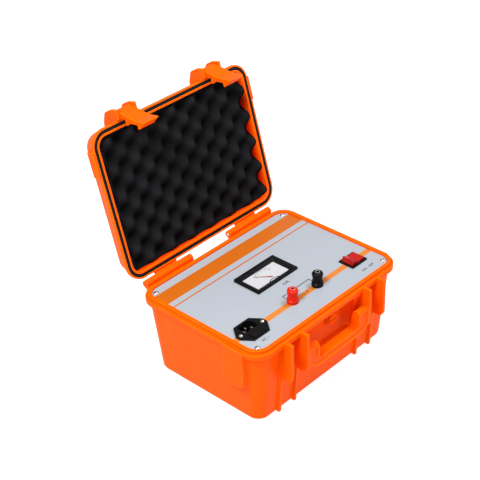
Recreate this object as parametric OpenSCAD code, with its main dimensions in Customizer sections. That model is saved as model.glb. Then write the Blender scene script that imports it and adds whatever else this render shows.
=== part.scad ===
// Portable mains-powered cable locator source in a hinged waterproof case.
// Millimetres, +Z up. The origin is the centre of the case's underside, +X runs along the
// handle side and +Y points to the hinges. The lid is shown open on its hinge stop.

/* [Case] */
// Length of the case over its flange
case_l = 289; // [284:1:310]
// Width of the case over its flange
case_w = 215; // [212:1:235]
// Height from the underside to the ledge round the tongue
base_h = 118; // [114:1:140]
// Thickness of the moulded walls
wall = 3; // [2.5:0.1:3.6]
// Radius of the flange corners seen from above
corner_r = 26; // [22:1:30]
// Height of the base's flange
flange_h = 6.5; // [5:0.5:8]
// How far the flange stands out from the wall below it
flange_over = 5; // [4:0.5:6]
// How far each wall leans in from the flange to the underside
lean = 10.2; // [7:0.2:12]
// Rounding between the walls and the underside
foot_r = 5; // [3:0.5:7]
// Height of the tongue that presses on the lid seal
tongue_h = 5; // [4:0.5:6]
// Width of the tongue
tongue_w = 5; // [4:0.5:6]
// Distance from the flange edge to the tongue
tongue_in = 3.7; // [3:0.1:5]

/* [Lid] */
// Angle from closed to the open stop
open_angle = 105.3; // [90:0.1:115]
// Distance of the hinge axis behind the flange
hinge_back = 6.5; // [6.2:0.1:9]
// Height of the hinge axis above the ledge
hinge_up = 3.5; // [3:0.1:4]
// Radius of the hinge barrels
barrel_r = 5; // [4.5:0.1:5.5]
// Diameter of the hinge pins
hinge_pin_d = 4; // [3:0.2:5]
// Thickness of the lid's flange
lid_flange_h = 10; // [8:0.5:12]
// Height of the whole lid from its rim
lid_h = 32; // [29:0.5:40]
// Width of the seal strip
seal_w = 4.6; // [4:0.1:5]
// Depth of the seal strip
seal_h = 3; // [2.5:0.1:4]
// Pitch of the egg-crate foam
foam_pitch = 38.2; // [32:0.1:44]
// Height from the foam's hollows to its crests
foam_relief = 13; // [9:0.5:14]
// Depth of the foam's crests behind the lid's rim
foam_crest_in = 2.5; // [1.5:0.5:4]

/* [Latches] */
// Distance of each latch from the end of the case
latch_in = 66; // [62:0.5:69]
// Clear width between the two ears of a latch
bay_w = 26; // [24:0.5:28]
// Thickness of the ears and fins
ear_t = 4; // [3:0.2:5]
// How far the fins of the base stand out from the flange
fin_out = 11.5; // [11:0.5:13]
// Height of the fins
fin_h = 60; // [56:1:64]
// Diameter of the latch pins
latch_pin_d = 4; // [3:0.2:5]

/* [Handle] */
// Width of the handle's arms
arm_w = 20; // [14:0.5:22]
// Height of the handle's grip bar
grip_h = 10.5; // [9:0.5:13]
// Thickness of the grip bar from front to back
grip_t = 14.5; // [12:0.5:15]
// Distance of the handle's pivot below the ledge
pivot_down = 31; // [29:0.5:34]
// Distance from the pivot to the lower edge of the grip
handle_drop = 30.5; // [28:0.5:34]
// Diameter of the handle pins
handle_pin_d = 5; // [4:0.2:6]

/* [Panel] */
// Thickness of the face plate
plate_t = 2; // [1.5:0.1:2.5]
// Distance of the corner screws from the ends of the case
screw_in_x = 18; // [17:0.5:21]
// Distance of the corner screws from the long sides of the case
screw_in_y = 17.5; // [17:0.5:20]
// Distance of the inlet, posts and switch from the front of the case
row_in = 48; // [46:0.5:50]

/* [Meter] */
// Length of the meter's bezel
meter_l = 78; // [74:1:84]
// Width of the meter's bezel
meter_w = 47; // [45:1:52]
// Height of the bezel above the panel
meter_h = 5; // [4.5:0.1:6]
// Length of the dial window
window_l = 62; // [58:1:66]
// Width of the dial window
window_w = 30; // [27:1:32]
// Swing of the needle
needle_swing = 90; // [60:1:100]

/* [Posts] */
// Distance between the two binding posts
post_pitch = 50; // [38:0.5:56]
// Diameter of the 4 mm socket in each post
socket_d = 4; // [4:0.1:4.2]
// Diameter of the post's cap
cap_d = 15; // [12:0.5:16]
// Height of the cap
cap_h = 13.8; // [13:0.2:18]
// Thread pitch of the post
post_thread = 1; // [0.7:0.05:1.25]
// Turns from tight to fully undone
post_turns = 3; // [2:1:3]

/* [Hidden] */

// Fineness of round shapes, and of the shapes blended from outlines
$fn = 48;
hull_fn = 32;
// Thickness of the outlines that are blended into walls, and the overrun of cuts
slab = 0.02;
over = 1;
// Clearances: parts that pass each other, seats, and pins that turn in bores
gap = 0.4;
seat_gap = 0.1;
run_gap = 0.05;
// Small edge break on moulded parts
soft_edge = 1;

// Colours
shell_orange = [0.95, 0.36, 0.08];
panel_grey = [0.80, 0.83, 0.86];
black_plastic = [0.08, 0.08, 0.09];
post_red = [0.85, 0.13, 0.07];
bright_metal = [0.78, 0.78, 0.80];
brass_tone = [0.80, 0.66, 0.35];

// Places that follow the case
latch_x = case_l / 2 - latch_in;
screw_pitch_x = case_l - 2 * screw_in_x;
screw_pitch_y = case_w - 2 * screw_in_y;
row_y = case_w / 2 - row_in;
pivot_z = base_h - pivot_down;

// Levels
z_flange = base_h - flange_h;
tongue_z = base_h + tongue_h;
rim_gap = 0.3;
rim_z = tongue_z + rim_gap;
plate_z = base_h;
panel_z = plate_z + plate_t;
hinge_y = case_w / 2 + hinge_back;
hinge_z = base_h + hinge_up;

// Wall lines of the tapered base, outside, at a height
function half_x(z) = case_l / 2 - flange_over - lean * (1 - z / z_flange);
function half_y(z) = case_w / 2 - flange_over - lean * (1 - z / z_flange);
top_corner_r = corner_r - flange_over / 2;
foot_corner_r = corner_r - foot_r - lean / 2;
function corner_at(z) = foot_corner_r + (top_corner_r - foot_corner_r) * z / z_flange;

// Tongue and panel well
tongue_l = case_l - 2 * tongue_in;
tongue_wide = case_w - 2 * tongue_in;
well_l = tongue_l - 2 * tongue_w;
well_w = tongue_wide - 2 * tongue_w;
well_r = corner_r - tongue_in - tongue_w;

// A point list along an arc, for outlines
function arc(c, r, a0, a1, n = 8) =
    [for (i = [0:n]) c + r * [cos(a0 + (a1 - a0) * i / n), sin(a0 + (a1 - a0) * i / n)]];

// A rectangle with true round corners
module rounded(l, w, r) {
    square([l - 2 * r, w], center = true);
    square([l, w - 2 * r], center = true);
    for (x = [-1, 1], y = [-1, 1]) translate([x * (l / 2 - r), y * (w / 2 - r)]) circle(r);
}

// A frame between two such rectangles
module rounded_ring(l, w, r, t, h) {
    linear_extrude(h) difference() {
        rounded(l, w, r);
        rounded(l - 2 * t, w - 2 * t, r - t);
    }
}

// An outline given in Y and Z, drawn out along X around a middle
module along_x(x, t) {
    translate([x - t / 2, 0, 0]) rotate([90, 0, 90]) linear_extrude(t) children();
}

// An outline given in X and Z, drawn out along Y from y0 to y0 + t
module along_y(y0, t) {
    translate([0, y0 + t, 0]) rotate([90, 0, 0]) linear_extrude(t) children();
}

module rod_x(x0, x1, y, z, r) {
    translate([x0, y, z]) rotate([0, 90, 0]) cylinder(r = r, h = x1 - x0);
}

// Puts what is drawn for the closed lid in its open place
module opened() {
    translate([0, hinge_y, hinge_z]) rotate([-open_angle, 0, 0]) translate([0, -hinge_y, -hinge_z]) children();
}

// The tapered tub with a rounded foot, inset evenly from its outside
foot_steps = [0, 30, 60, 90];
module tub(inset, floor_z, top_z) {
    hull() {
        translate([0, 0, top_z - slab]) linear_extrude(slab)
            rounded(2 * (half_x(top_z) - inset), 2 * (half_y(top_z) - inset), corner_at(top_z) - inset, $fn = hull_fn);
        for (a = foot_steps) {
            z = floor_z + foot_r * (1 - cos(a));
            in = inset + foot_r * (1 - sin(a));
            translate([0, 0, z]) linear_extrude(slab)
                rounded(2 * (half_x(z) - in), 2 * (half_y(z) - in), corner_at(z) - inset, $fn = hull_fn);
        }
    }
}

// Fins, ribs and pads of the base
fin_y = case_w / 2 + fin_out;
fin_z = base_h - fin_h;
fin_r = 10;
fin_chamfer = 1.5;
rib_out = 3.5;
rib_w = ear_t;
fin_step = (bay_w + ear_t) / 2;
fin_xs = [-latch_x - fin_step, -latch_x + fin_step, latch_x - fin_step, latch_x + fin_step];
inner_y = half_y(0) - wall;

module fin(x) {
    along_x(x, ear_t) polygon(concat(
        [[-inner_y, base_h], [-(fin_y - fin_chamfer), base_h], [-fin_y, base_h - fin_chamfer]],
        arc([-(fin_y - fin_r), fin_z + fin_r], fin_r, 180, 270),
        [[-inner_y, fin_z]]));
}

module rib(x, side) {
    along_x(x, rib_w) polygon([
        [side * inner_y, 0], [side * (half_y(0) + rib_out), 0],
        [side * (half_y(fin_z + fin_r) + rib_out), fin_z + fin_r], [side * inner_y, fin_z + fin_r]]);
}

pad_in = 25.5;
pad_l = 34;
pad_y1 = case_w / 2 - pad_in;
pad_y0 = pad_y1 - pad_l;
pad_tall = 56;
pad_z = base_h - pad_tall;
pad_out = 2.4;
pad_r = 8;
module side_pad(side) {
    x0 = half_x(0) - wall;
    x1 = case_l / 2 + pad_out;
    translate([side > 0 ? x0 : -x1, 0, 0]) rotate([90, 0, 90]) linear_extrude(x1 - x0) polygon(concat(
        [[-pad_y0, base_h], [-pad_y1, base_h]],
        arc([-pad_y1 + pad_r, pad_z + pad_r], pad_r, 180, 270),
        arc([-pad_y0 - pad_r, pad_z + pad_r], pad_r, 270, 360)));
}

// Finger pocket behind the handle
pocket_side = 10.5;
pocket_in = 19.5;
pocket_tall = 67;
pocket_half = latch_x - fin_step - ear_t / 2 - pocket_side;
pocket_y = case_w / 2 - pocket_in;
pocket_low = base_h - pocket_tall;
pocket_r = 8;
pocket_rise = 6.5;
skin = 2.5;
module pocket_plan(grow) {
    depth = case_w - pocket_y + grow;
    translate([0, -pocket_y + grow - depth / 2]) rounded(2 * (pocket_half + grow), depth, pocket_r + grow);
}
module pocket_box() {
    intersection() {
        translate([0, 0, pocket_low - skin]) linear_extrude(z_flange + skin - (pocket_low - skin)) pocket_plan(skin);
        tub(wall / 2, 0, base_h);
    }
}
module pocket_cut() {
    intersection() {
        translate([0, 0, pocket_low - over]) linear_extrude(z_flange - pocket_low + over) pocket_plan(0);
        along_x(0, 2 * case_l) polygon([
            [-case_w, pocket_low - pocket_rise], [-half_y(pocket_low), pocket_low],
            [-pocket_y, pocket_low + pocket_rise], [0, pocket_low + pocket_rise],
            [0, z_flange], [-case_w, z_flange]]);
    }
}

// Latch recesses: the wall steps in between the fins, so that the latch's catch reaches
// under the flange and its finger hook stays clear of the wall
bay_in = 20.5;
bay_tall = 56;
bay_y = case_w / 2 - bay_in;
bay_low = base_h - bay_tall;
bay_rise = 17;
bay_back_r = 3;
module bay_plan(x, grow) {
    depth = case_w - bay_y + grow;
    translate([x, -bay_y + grow - depth / 2]) rounded(bay_w + 2 * grow, depth, bay_back_r + grow);
}
module bay_box(x) {
    intersection() {
        translate([0, 0, bay_low - skin]) linear_extrude(z_flange + skin - (bay_low - skin)) bay_plan(x, skin);
        tub(wall / 2, 0, base_h);
    }
}
module bay_cut(x) {
    intersection() {
        translate([0, 0, bay_low - over]) linear_extrude(z_flange - bay_low + over) bay_plan(x, 0);
        along_x(x, bay_w) polygon([
            [-case_w, bay_low - over], [-half_y(bay_low), bay_low],
            [-bay_y, bay_low + bay_rise], [0, bay_low + bay_rise], [0, z_flange], [-case_w, z_flange]]);
    }
}

// Hinge: each pair of base knuckles holds one lid knuckle
knuckle_gap = 0.4;
hinge_end = 21.5;
outer_knuckle = 25;
lid_knuckle_l = 38;
inner_knuckle = 23;
hinge_out = case_l / 2 - hinge_end;
hinge_mid1 = hinge_out - outer_knuckle;
hinge_mid0 = hinge_mid1 - lid_knuckle_l;
hinge_in = hinge_mid0 - inner_knuckle;
web_drop = 10;
module base_knuckle(x0, x1) {
    rod_x(x0, x1, hinge_y, hinge_z, barrel_r);
    along_x((x0 + x1) / 2, x1 - x0) polygon([
        [case_w / 2 - flange_over, z_flange], [hinge_y - barrel_r, z_flange],
        [hinge_y + barrel_r, hinge_z - barrel_r / 2], [hinge_y + barrel_r, hinge_z],
        [hinge_y - barrel_r, hinge_z], [hinge_y - barrel_r, base_h], [case_w / 2 - flange_over, base_h]]);
}
module base_knuckles() {
    for (s = [-1, 1]) {
        base_knuckle(min(s * hinge_in, s * (hinge_mid0 - knuckle_gap)), max(s * hinge_in, s * (hinge_mid0 - knuckle_gap)));
        base_knuckle(min(s * (hinge_mid1 + knuckle_gap), s * hinge_out), max(s * (hinge_mid1 + knuckle_gap), s * hinge_out));
    }
}

// Panel seat
seat_t = 3;
seat_w = 4;
boss_r = 5;
boss_h = 16;
pilot_r = 1.9;
module panel_bosses() {
    for (x = [-1, 1], y = [-1, 1])
        translate([x * screw_pitch_x / 2, y * screw_pitch_y / 2, plate_z - boss_h]) cylinder(r = boss_r, h = boss_h);
}
module panel_pilots() {
    for (x = [-1, 1], y = [-1, 1])
        translate([x * screw_pitch_x / 2, y * screw_pitch_y / 2, plate_z - boss_h + wall]) cylinder(r = pilot_r, h = boss_h);
}

// Handle pivot
handle_front = fin_y;
pivot_front = 6;
pin_skin = 1;
pivot_y = handle_front - pivot_front;
handle_half = latch_x - fin_step - ear_t / 2 - gap;

// Purge valve in the pocket's back wall
valve_down = 31.6;
valve_x = pocket_half * 0.32;
valve_z = base_h - valve_down;
valve_r = 11;
valve_thread_r = 6;
valve_out = 7;

module base_shell() color(shell_orange) {
    difference() {
        union() {
            difference() {
                union() {
                    tub(0, 0, z_flange + slab);
                    translate([0, 0, z_flange]) linear_extrude(flange_h) rounded(case_l, case_w, corner_r);
                    translate([0, 0, z_flange]) linear_extrude(flange_h + tongue_h)
                        rounded(tongue_l, tongue_wide, corner_r - tongue_in);
                    for (x = fin_xs) {
                        fin(x);
                        rib(x, -1);
                    }
                    for (s = [-1, 1]) side_pad(s);
                    base_knuckles();
                }
                tub(wall, wall, z_flange + slab);
                translate([0, 0, z_flange]) linear_extrude(flange_h + tongue_h + over) rounded(well_l, well_w, well_r);
            }
            translate([0, 0, plate_z - seat_t]) rounded_ring(well_l + wall, well_w + wall, well_r + wall / 2, seat_w + wall / 2, seat_t);
            panel_bosses();
            pocket_box();
            for (s = [-1, 1]) bay_box(s * latch_x);
        }
        pocket_cut();
        for (s = [-1, 1]) bay_cut(s * latch_x);
        panel_pilots();
        for (s = [-1, 1]) {
            rod_x(min(s * (hinge_in - over), s * (hinge_out - wall)), max(s * (hinge_in - over), s * (hinge_out - wall)),
                  hinge_y, hinge_z, hinge_pin_d / 2 + run_gap);
            rod_x(min(s * handle_half, s * (handle_half + gap + ear_t - pin_skin)), max(s * handle_half, s * (handle_half + gap + ear_t - pin_skin)),
                  -pivot_y, pivot_z, handle_pin_d / 2 + run_gap);
        }
        translate([valve_x, -pocket_y - over, valve_z]) rotate([-90, 0, 0]) cylinder(r = valve_thread_r + seat_gap, h = skin + 2 * over);
    }
}

// Face plate with its cut-outs
plate_l = well_l - 2 * gap;
plate_w = well_w - 2 * gap;
meter_x = -2;
meter_y = 8.3;
can_r = 21;
inlet_in = 40.5;
inlet_x = inlet_in - case_l / 2;
inlet_cut_l = 27.5;
inlet_cut_w = 32;
inlet_flange_h = 2.5;
inlet_screw_pitch = 40;
inlet_screw_r = 1.5;
switch_in = 44.5;
switch_x = case_l / 2 - switch_in;
switch_l = 31;
switch_w = 25.5;
switch_cut_l = 28;
switch_cut_w = 22;
post_neck_r = 4;
screw_r = 1.75;
screw_hole_r = 2.2;

module face_plate() color(panel_grey) {
    translate([0, 0, plate_z]) linear_extrude(plate_t) difference() {
        rounded(plate_l, plate_w, well_r - gap);
        for (x = [-1, 1], y = [-1, 1]) translate([x * screw_pitch_x / 2, y * screw_pitch_y / 2]) circle(screw_hole_r);
        translate([meter_x, meter_y]) circle(can_r + gap);
        for (x = [-1, 1]) translate([meter_x + x * meter_stud_x, meter_y - meter_stud_y]) circle(meter_stud_r + gap);
        translate([inlet_x, -row_y]) square([inlet_cut_l + gap, inlet_cut_w + gap], center = true);
        for (x = [-1, 1]) translate([inlet_x + x * inlet_screw_pitch / 2, -row_y]) circle(inlet_screw_r + gap);
        translate([switch_x, -row_y]) square([switch_cut_l + gap, switch_cut_w + gap], center = true);
        for (x = [-1, 1]) translate([x * post_pitch / 2, -row_y]) circle(post_neck_r + gap);
    }
}

// Pan-head corner screws
screw_head_r = 3.7;
screw_head_h = 2;
screw_l = 14;
module panel_screws() color(bright_metal) {
    for (x = [-1, 1], y = [-1, 1]) translate([x * screw_pitch_x / 2, y * screw_pitch_y / 2, panel_z]) {
        rotate_extrude() polygon(concat(
            [[0, -screw_l], [screw_r, -screw_l + screw_r], [screw_r, 0], [screw_head_r, 0], [screw_head_r, screw_head_h / 3]],
            [[screw_head_r * 0.7, screw_head_h * 0.85], [screw_head_r * 0.3, screw_head_h], [0, screw_head_h]]));
    }
}

module hinge_pins() color(bright_metal) {
    for (s = [-1, 1])
        rod_x(min(s * hinge_in, s * (hinge_out - wall - gap)), max(s * hinge_in, s * (hinge_out - wall - gap)),
              hinge_y, hinge_z, hinge_pin_d / 2);
}

// Carrying handle, hanging in front of its pocket
chamfer_l = 14.5;
chamfer_h = 10.5;
inner_r = 3;
border = 2.5;
panel_sink = 1.5;
block_h = 4.5;
// Outline from the front, with chamfered lower corners; grow moves every side of it outward
module handle_outline(grow) {
    slope = norm([chamfer_l, chamfer_h]);
    half = handle_half + grow;
    low = pivot_z - handle_drop - grow;
    high = pivot_z + pivot_front + soft_edge;
    side_z = pivot_z - handle_drop + chamfer_h - grow * (slope - chamfer_h) / chamfer_l;
    low_x = handle_half - chamfer_l + grow * (slope - chamfer_l) / chamfer_h;
    difference() {
        polygon([[-half, high], [-half, side_z], [-low_x, low], [low_x, low], [half, side_z], [half, high]]);
        translate([0, pivot_z - handle_drop + grip_h - grow + case_w / 2])
            rounded(2 * (handle_half - arm_w - grow), case_w, inner_r);
    }
}
module handle() color(shell_orange) {
    difference() {
        intersection() {
            along_y(-handle_front, max(grip_t, 2 * pivot_front)) handle_outline(0);
            along_x(0, 2 * handle_half + over) union() {
                translate([-pivot_y, pivot_z]) circle(pivot_front);
                polygon([
                    [-handle_front, pivot_z], [-handle_front, pivot_z - handle_drop + soft_edge],
                    [-handle_front + soft_edge, pivot_z - handle_drop], [-handle_front + grip_t - soft_edge, pivot_z - handle_drop],
                    [-handle_front + grip_t, pivot_z - handle_drop + soft_edge],
                    [-handle_front + grip_t, pivot_z - pivot_front],
                    [-pivot_y + pivot_front * 0.9, pivot_z], [-pivot_y, pivot_z + pivot_front * 0.5]]);
            }
        }
        along_y(-handle_front - over, over + panel_sink) intersection() {
            handle_outline(-border);
            translate([0, pivot_z + pivot_front - block_h - handle_drop / 2]) square([2 * handle_half, handle_drop], center = true);
        }
        for (s = [-1, 1])
            rod_x(min(s * (handle_half + over), s * (handle_half - arm_w + wall)), max(s * (handle_half + over), s * (handle_half - arm_w + wall)),
                  -pivot_y, pivot_z, handle_pin_d / 2 + run_gap);
    }
}

module handle_pins() color(bright_metal) {
    for (s = [-1, 1]) {
        x0 = handle_half - arm_w + wall + gap;
        x1 = handle_half + gap + ear_t - pin_skin - seat_gap;
        rod_x(min(s * x0, s * x1), max(s * x0, s * x1), -pivot_y, pivot_z, handle_pin_d / 2);
    }
}

// Purge valve: a flanged body through the pocket wall, a ring seal and a slotted knob
valve_flange_t = 2.4;
seal_t = 1;
knob_r = 9;
slot_w = 1.6;
module facing_front(x, y, z) {
    translate([x, y, z]) rotate([90, 0, 0]) children();
}
module valve_body() color(shell_orange) {
    difference() {
        union() {
            facing_front(valve_x, -pocket_y - seal_t, valve_z) cylinder(r = valve_r, h = valve_flange_t);
            facing_front(valve_x, -pocket_y + skin + valve_flange_t, valve_z)
                cylinder(r = valve_thread_r, h = skin + valve_flange_t + seal_t + soft_edge);
        }
        facing_front(valve_x, -pocket_y + skin + valve_flange_t + over, valve_z)
            cylinder(r = valve_bore_r, h = skin + 3 * valve_flange_t + over);
        facing_front(valve_x, -pocket_y - seal_t - soft_edge, valve_z) cylinder(r = knob_r + gap, h = valve_flange_t);
    }
}
valve_bore_r = 3;
module valve_knob() color(shell_orange) {
    front = valve_out - seal_t - soft_edge - gap;
    difference() {
        union() {
            facing_front(valve_x, -pocket_y - seal_t - soft_edge - gap, valve_z) rotate_extrude() polygon([
                [0, 0], [knob_r, 0], [knob_r, front - soft_edge], [knob_r - soft_edge, front], [0, front]]);
            facing_front(valve_x, -pocket_y + skin, valve_z)
                cylinder(r = valve_bore_r - run_gap, h = skin + seal_t + soft_edge + gap + slab);
        }
        facing_front(valve_x, -pocket_y - valve_out + 2 * slot_w, valve_z)
            translate([-knob_r - over, -slot_w / 2, slot_w / 2]) cube([2 * (knob_r + over), slot_w, 2 * slot_w]);
    }
}
module valve_seal() color(black_plastic) {
    facing_front(valve_x, -pocket_y, valve_z) difference() {
        cylinder(r = valve_r - seal_t, h = seal_t);
        translate([0, 0, -over]) cylinder(r = valve_thread_r + seat_gap, h = seal_t + 2 * over);
    }
}

// Panel meter
meter_r = 3;
meter_skirt = 1.5;
window_y = 3;
dial_t = 0.8;
dial_up = 1.2;
glass_t = 1.2;
glass_seat = 1.5;
can_h = 24;
can_wall = 1.5;
meter_stud_x = 30;
meter_stud_y = 14;
meter_stud_r = 1.5;
meter_stud_l = 14;
needle_back = 5.6;
needle_in = 3;
meter_pivot_y = meter_y + window_y - window_w / 2 + needle_in;
module at_meter(z) {
    translate([meter_x, meter_y, z]) children();
}
module meter_housing() color(black_plastic) {
    difference() {
        union() {
            at_meter(panel_z) linear_extrude(meter_h - soft_edge) rounded(meter_l, meter_w, meter_r);
            at_meter(panel_z + meter_h - soft_edge) linear_extrude(soft_edge)
                rounded(meter_l - 2 * soft_edge, meter_w - 2 * soft_edge, meter_r - soft_edge / 2);
            at_meter(panel_z - can_h) cylinder(r = can_r, h = can_h + slab);
            for (s = [-1, 1]) translate([meter_x + s * meter_stud_x, meter_y - meter_stud_y, panel_z - meter_stud_l])
                cylinder(r = meter_stud_r, h = meter_stud_l + slab);
        }
        translate([meter_x, meter_y + window_y, panel_z + dial_up]) linear_extrude(meter_h) rounded(window_l, window_w, meter_r / 2);
        translate([meter_x, meter_y + window_y, panel_z + meter_h - glass_t]) linear_extrude(meter_h)
            rounded(window_l + 2 * glass_seat, window_w + 2 * glass_seat, meter_r / 2 + glass_seat);
        at_meter(panel_z - can_h + can_wall) cylinder(r = can_r - can_wall, h = can_h - can_wall - meter_skirt);
        translate([meter_x, meter_pivot_y, panel_z - can_h / 2]) cylinder(r = meter_hub_r + gap, h = can_h);
    }
}
meter_hub_r = 3;
module meter_dial() color([0.95, 0.95, 0.94]) {
    translate([meter_x, meter_y + window_y, panel_z + dial_up]) linear_extrude(dial_t) difference() {
        rounded(window_l - 2 * seat_gap, window_w - 2 * seat_gap, meter_r / 2);
        translate([0, meter_pivot_y - meter_y - window_y]) circle(meter_hub_r + gap);
    }
}
// Arched cover over the needle's bearing
shield_r = 18.8;
shield_up = 5;
shield_t = 0.5;
module meter_shield() color([0.95, 0.95, 0.94]) {
    z = panel_z + meter_h - glass_t - seat_gap - shield_t;
    translate([meter_x, meter_y + window_y, z]) linear_extrude(shield_t) intersection() {
        rounded(window_l - 2 * seat_gap, window_w - 2 * seat_gap, meter_r / 2);
        translate([0, shield_up - window_w / 2 - shield_r]) circle(shield_r);
    }
}
module meter_glass() color([0.85, 0.9, 0.92, 0.35]) {
    translate([meter_x, meter_y + window_y, panel_z + meter_h - glass_t]) linear_extrude(glass_t - seat_gap)
        rounded(window_l + 2 * glass_seat - 2 * seat_gap, window_w + 2 * glass_seat - 2 * seat_gap, meter_r / 2 + glass_seat);
}
// Magnet block in the can, with the bearing that the needle's shaft turns in
magnet_l = 26;
magnet_w = 20;
magnet_h = 12;
shaft_r = 0.8;
module meter_movement() color([0.5, 0.5, 0.53]) {
    difference() {
        translate([meter_x, meter_y, panel_z - can_h + can_wall]) union() {
            translate([0, 0, magnet_h / 2]) cube([magnet_l, magnet_w, magnet_h], center = true);
            translate([0, meter_pivot_y - meter_y, 0]) cylinder(r = meter_hub_r, h = can_h - can_wall - meter_skirt - gap);
        }
        translate([meter_x, meter_pivot_y, panel_z - can_h + 2 * can_wall]) cylinder(r = shaft_r + run_gap, h = can_h);
    }
}
needle_l = 23;
needle_w = 0.7;
needle_t = 0.5;
module meter_needle() color([0.75, 0.25, 0.2]) {
    z = panel_z + dial_up + dial_t + gap;
    translate([meter_x, meter_pivot_y, z]) {
        rotate([0, 0, 90 + needle_swing / 2]) translate([-needle_back / 2, -needle_w / 2, 0]) cube([needle_back / 2 + needle_l, needle_w, needle_t]);
        translate([0, 0, -gap / 2]) cylinder(r = meter_hub_r / 2, h = needle_t + gap / 2);
    }
    translate([meter_x, meter_pivot_y, panel_z - can_h + 3 * can_wall]) cylinder(r = shaft_r, h = z - panel_z + can_h - 3 * can_wall);
}
nut_r = 3;
nut_h = 2.4;
module meter_nuts() color(bright_metal) {
    for (s = [-1, 1]) translate([meter_x + s * meter_stud_x, meter_y - meter_stud_y, plate_z - nut_h]) difference() {
        cylinder(r = nut_r, h = nut_h, $fn = 6);
        translate([0, 0, -over]) cylinder(r = meter_stud_r + run_gap, h = nut_h + 2 * over, $fn = 48);
    }
}

// Mains inlet with a fuse drawer in front of its socket
inlet_l = 50;
inlet_w = 36.5;
inlet_ear = 11;
inlet_deep = 28;
socket_l = 24;
socket_w = 16.5;
socket_deep = 17;
socket_y = 7.5;
socket_chamfer = 4;
drawer_l = 20;
drawer_w = 9.5;
drawer_y = -10.5;
drawer_deep = 22;
module inlet_outline() {
    polygon([
        [-inlet_l / 2, inlet_ear / 3], [-inlet_l / 2, -inlet_ear / 3], [-inlet_l / 2 + inlet_ear, -inlet_w / 2],
        [inlet_l / 2 - inlet_ear, -inlet_w / 2], [inlet_l / 2, -inlet_ear / 3], [inlet_l / 2, inlet_ear / 3],
        [inlet_l / 2 - inlet_ear, inlet_w / 2], [-inlet_l / 2 + inlet_ear, inlet_w / 2]]);
}
module socket_outline(grow) {
    translate([0, socket_y]) polygon([
        [-socket_l / 2 - grow, -socket_w / 2 - grow], [socket_l / 2 + grow, -socket_w / 2 - grow],
        [socket_l / 2 + grow, socket_w / 2 - socket_chamfer], [socket_l / 2 - socket_chamfer, socket_w / 2 + grow],
        [-socket_l / 2 + socket_chamfer, socket_w / 2 + grow], [-socket_l / 2 - grow, socket_w / 2 - socket_chamfer]]);
}
module inlet_body() color(black_plastic) {
    translate([inlet_x, -row_y, panel_z]) difference() {
        union() {
            linear_extrude(inlet_flange_h) inlet_outline();
            translate([0, 0, -inlet_deep]) linear_extrude(inlet_deep) square([inlet_cut_l, inlet_cut_w], center = true);
        }
        translate([0, 0, inlet_flange_h - socket_deep]) linear_extrude(socket_deep + over) socket_outline(0);
        translate([0, drawer_y, inlet_flange_h - drawer_deep]) linear_extrude(drawer_deep + over)
            square([drawer_l + 2 * gap, drawer_w + 2 * gap], center = true);
        for (s = [-1, 1]) translate([s * inlet_screw_pitch / 2, 0, -over]) cylinder(r = inlet_screw_r + gap / 2, h = inlet_flange_h + 2 * over);
        for (p = pin_places) translate([p[0], p[1], -inlet_deep - over])
            linear_extrude(inlet_deep) square([pin_w + 2 * seat_gap, pin_t + 2 * seat_gap], center = true);
    }
}
pin_w = 2;
pin_t = 4;
pin_side = 7;
pin_earth = 4;
pin_live = -1;
pin_up = 12;
pin_tail = 8;
pin_places = [[-pin_side, socket_y + pin_live], [pin_side, socket_y + pin_live], [0, socket_y + pin_earth]];
module inlet_pins() color(brass_tone) {
    for (p = pin_places) translate([inlet_x + p[0], -row_y + p[1], panel_z - inlet_deep - pin_tail])
        linear_extrude(pin_tail + inlet_deep + inlet_flange_h - socket_deep + pin_up) square([pin_w, pin_t], center = true);
}
inlet_head_r = 2.8;
inlet_head_h = 1.6;
inlet_screw_l = 9;
module inlet_screws() color(bright_metal) {
    for (s = [-1, 1]) translate([inlet_x + s * inlet_screw_pitch / 2, -row_y, 0]) {
        translate([0, 0, panel_z + inlet_flange_h]) rotate_extrude() polygon([
            [0, -inlet_screw_l], [inlet_screw_r, -inlet_screw_l], [inlet_screw_r, 0], [inlet_head_r, 0],
            [inlet_head_r * 0.8, inlet_head_h * 0.7], [inlet_head_r * 0.4, inlet_head_h], [0, inlet_head_h]]);
        translate([0, 0, plate_z - nut_h - seat_gap]) difference() {
            cylinder(r = nut_r, h = nut_h, $fn = 6);
            translate([0, 0, -over]) cylinder(r = inlet_screw_r - slab, h = nut_h + 2 * over, $fn = 48);
        }
    }
}
fuse_r = 2.6;
fuse_l = 20;
drawer_face_l = 24;
drawer_face_w = 12;
drawer_face_t = 1.5;
drawer_grip = 0.8;
drawer_z = panel_z + inlet_flange_h;
module fuse_drawer() color(black_plastic) {
    translate([inlet_x, -row_y + drawer_y, drawer_z]) difference() {
        union() {
            translate([0, 0, seat_gap]) linear_extrude(drawer_face_t) rounded(drawer_face_l, drawer_face_w, soft_edge);
            translate([0, 0, seat_gap - drawer_deep + soft_edge]) linear_extrude(drawer_deep - soft_edge + slab)
                square([drawer_l, drawer_w], center = true);
        }
        // Lip for a screwdriver, and the trough that holds the fuse
        translate([-drawer_face_l / 4, -drawer_face_w / 2 - over, seat_gap + drawer_face_t - drawer_grip]) cube([drawer_face_l / 2, over + drawer_grip, over]);
        translate([0, 0, -drawer_deep / 2]) cube([2 * fuse_r + 2 * seat_gap, 2 * drawer_w, drawer_deep - 4 * soft_edge], center = true);
    }
}
module fuse() color(bright_metal) {
    translate([inlet_x, -row_y + drawer_y, drawer_z - drawer_deep / 2 - fuse_cut_l / 2]) {
        cylinder(r = fuse_r, h = fuse_cut_l);
    }
}
fuse_cut_l = drawer_deep - 4 * soft_edge - 2 * seat_gap;

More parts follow.
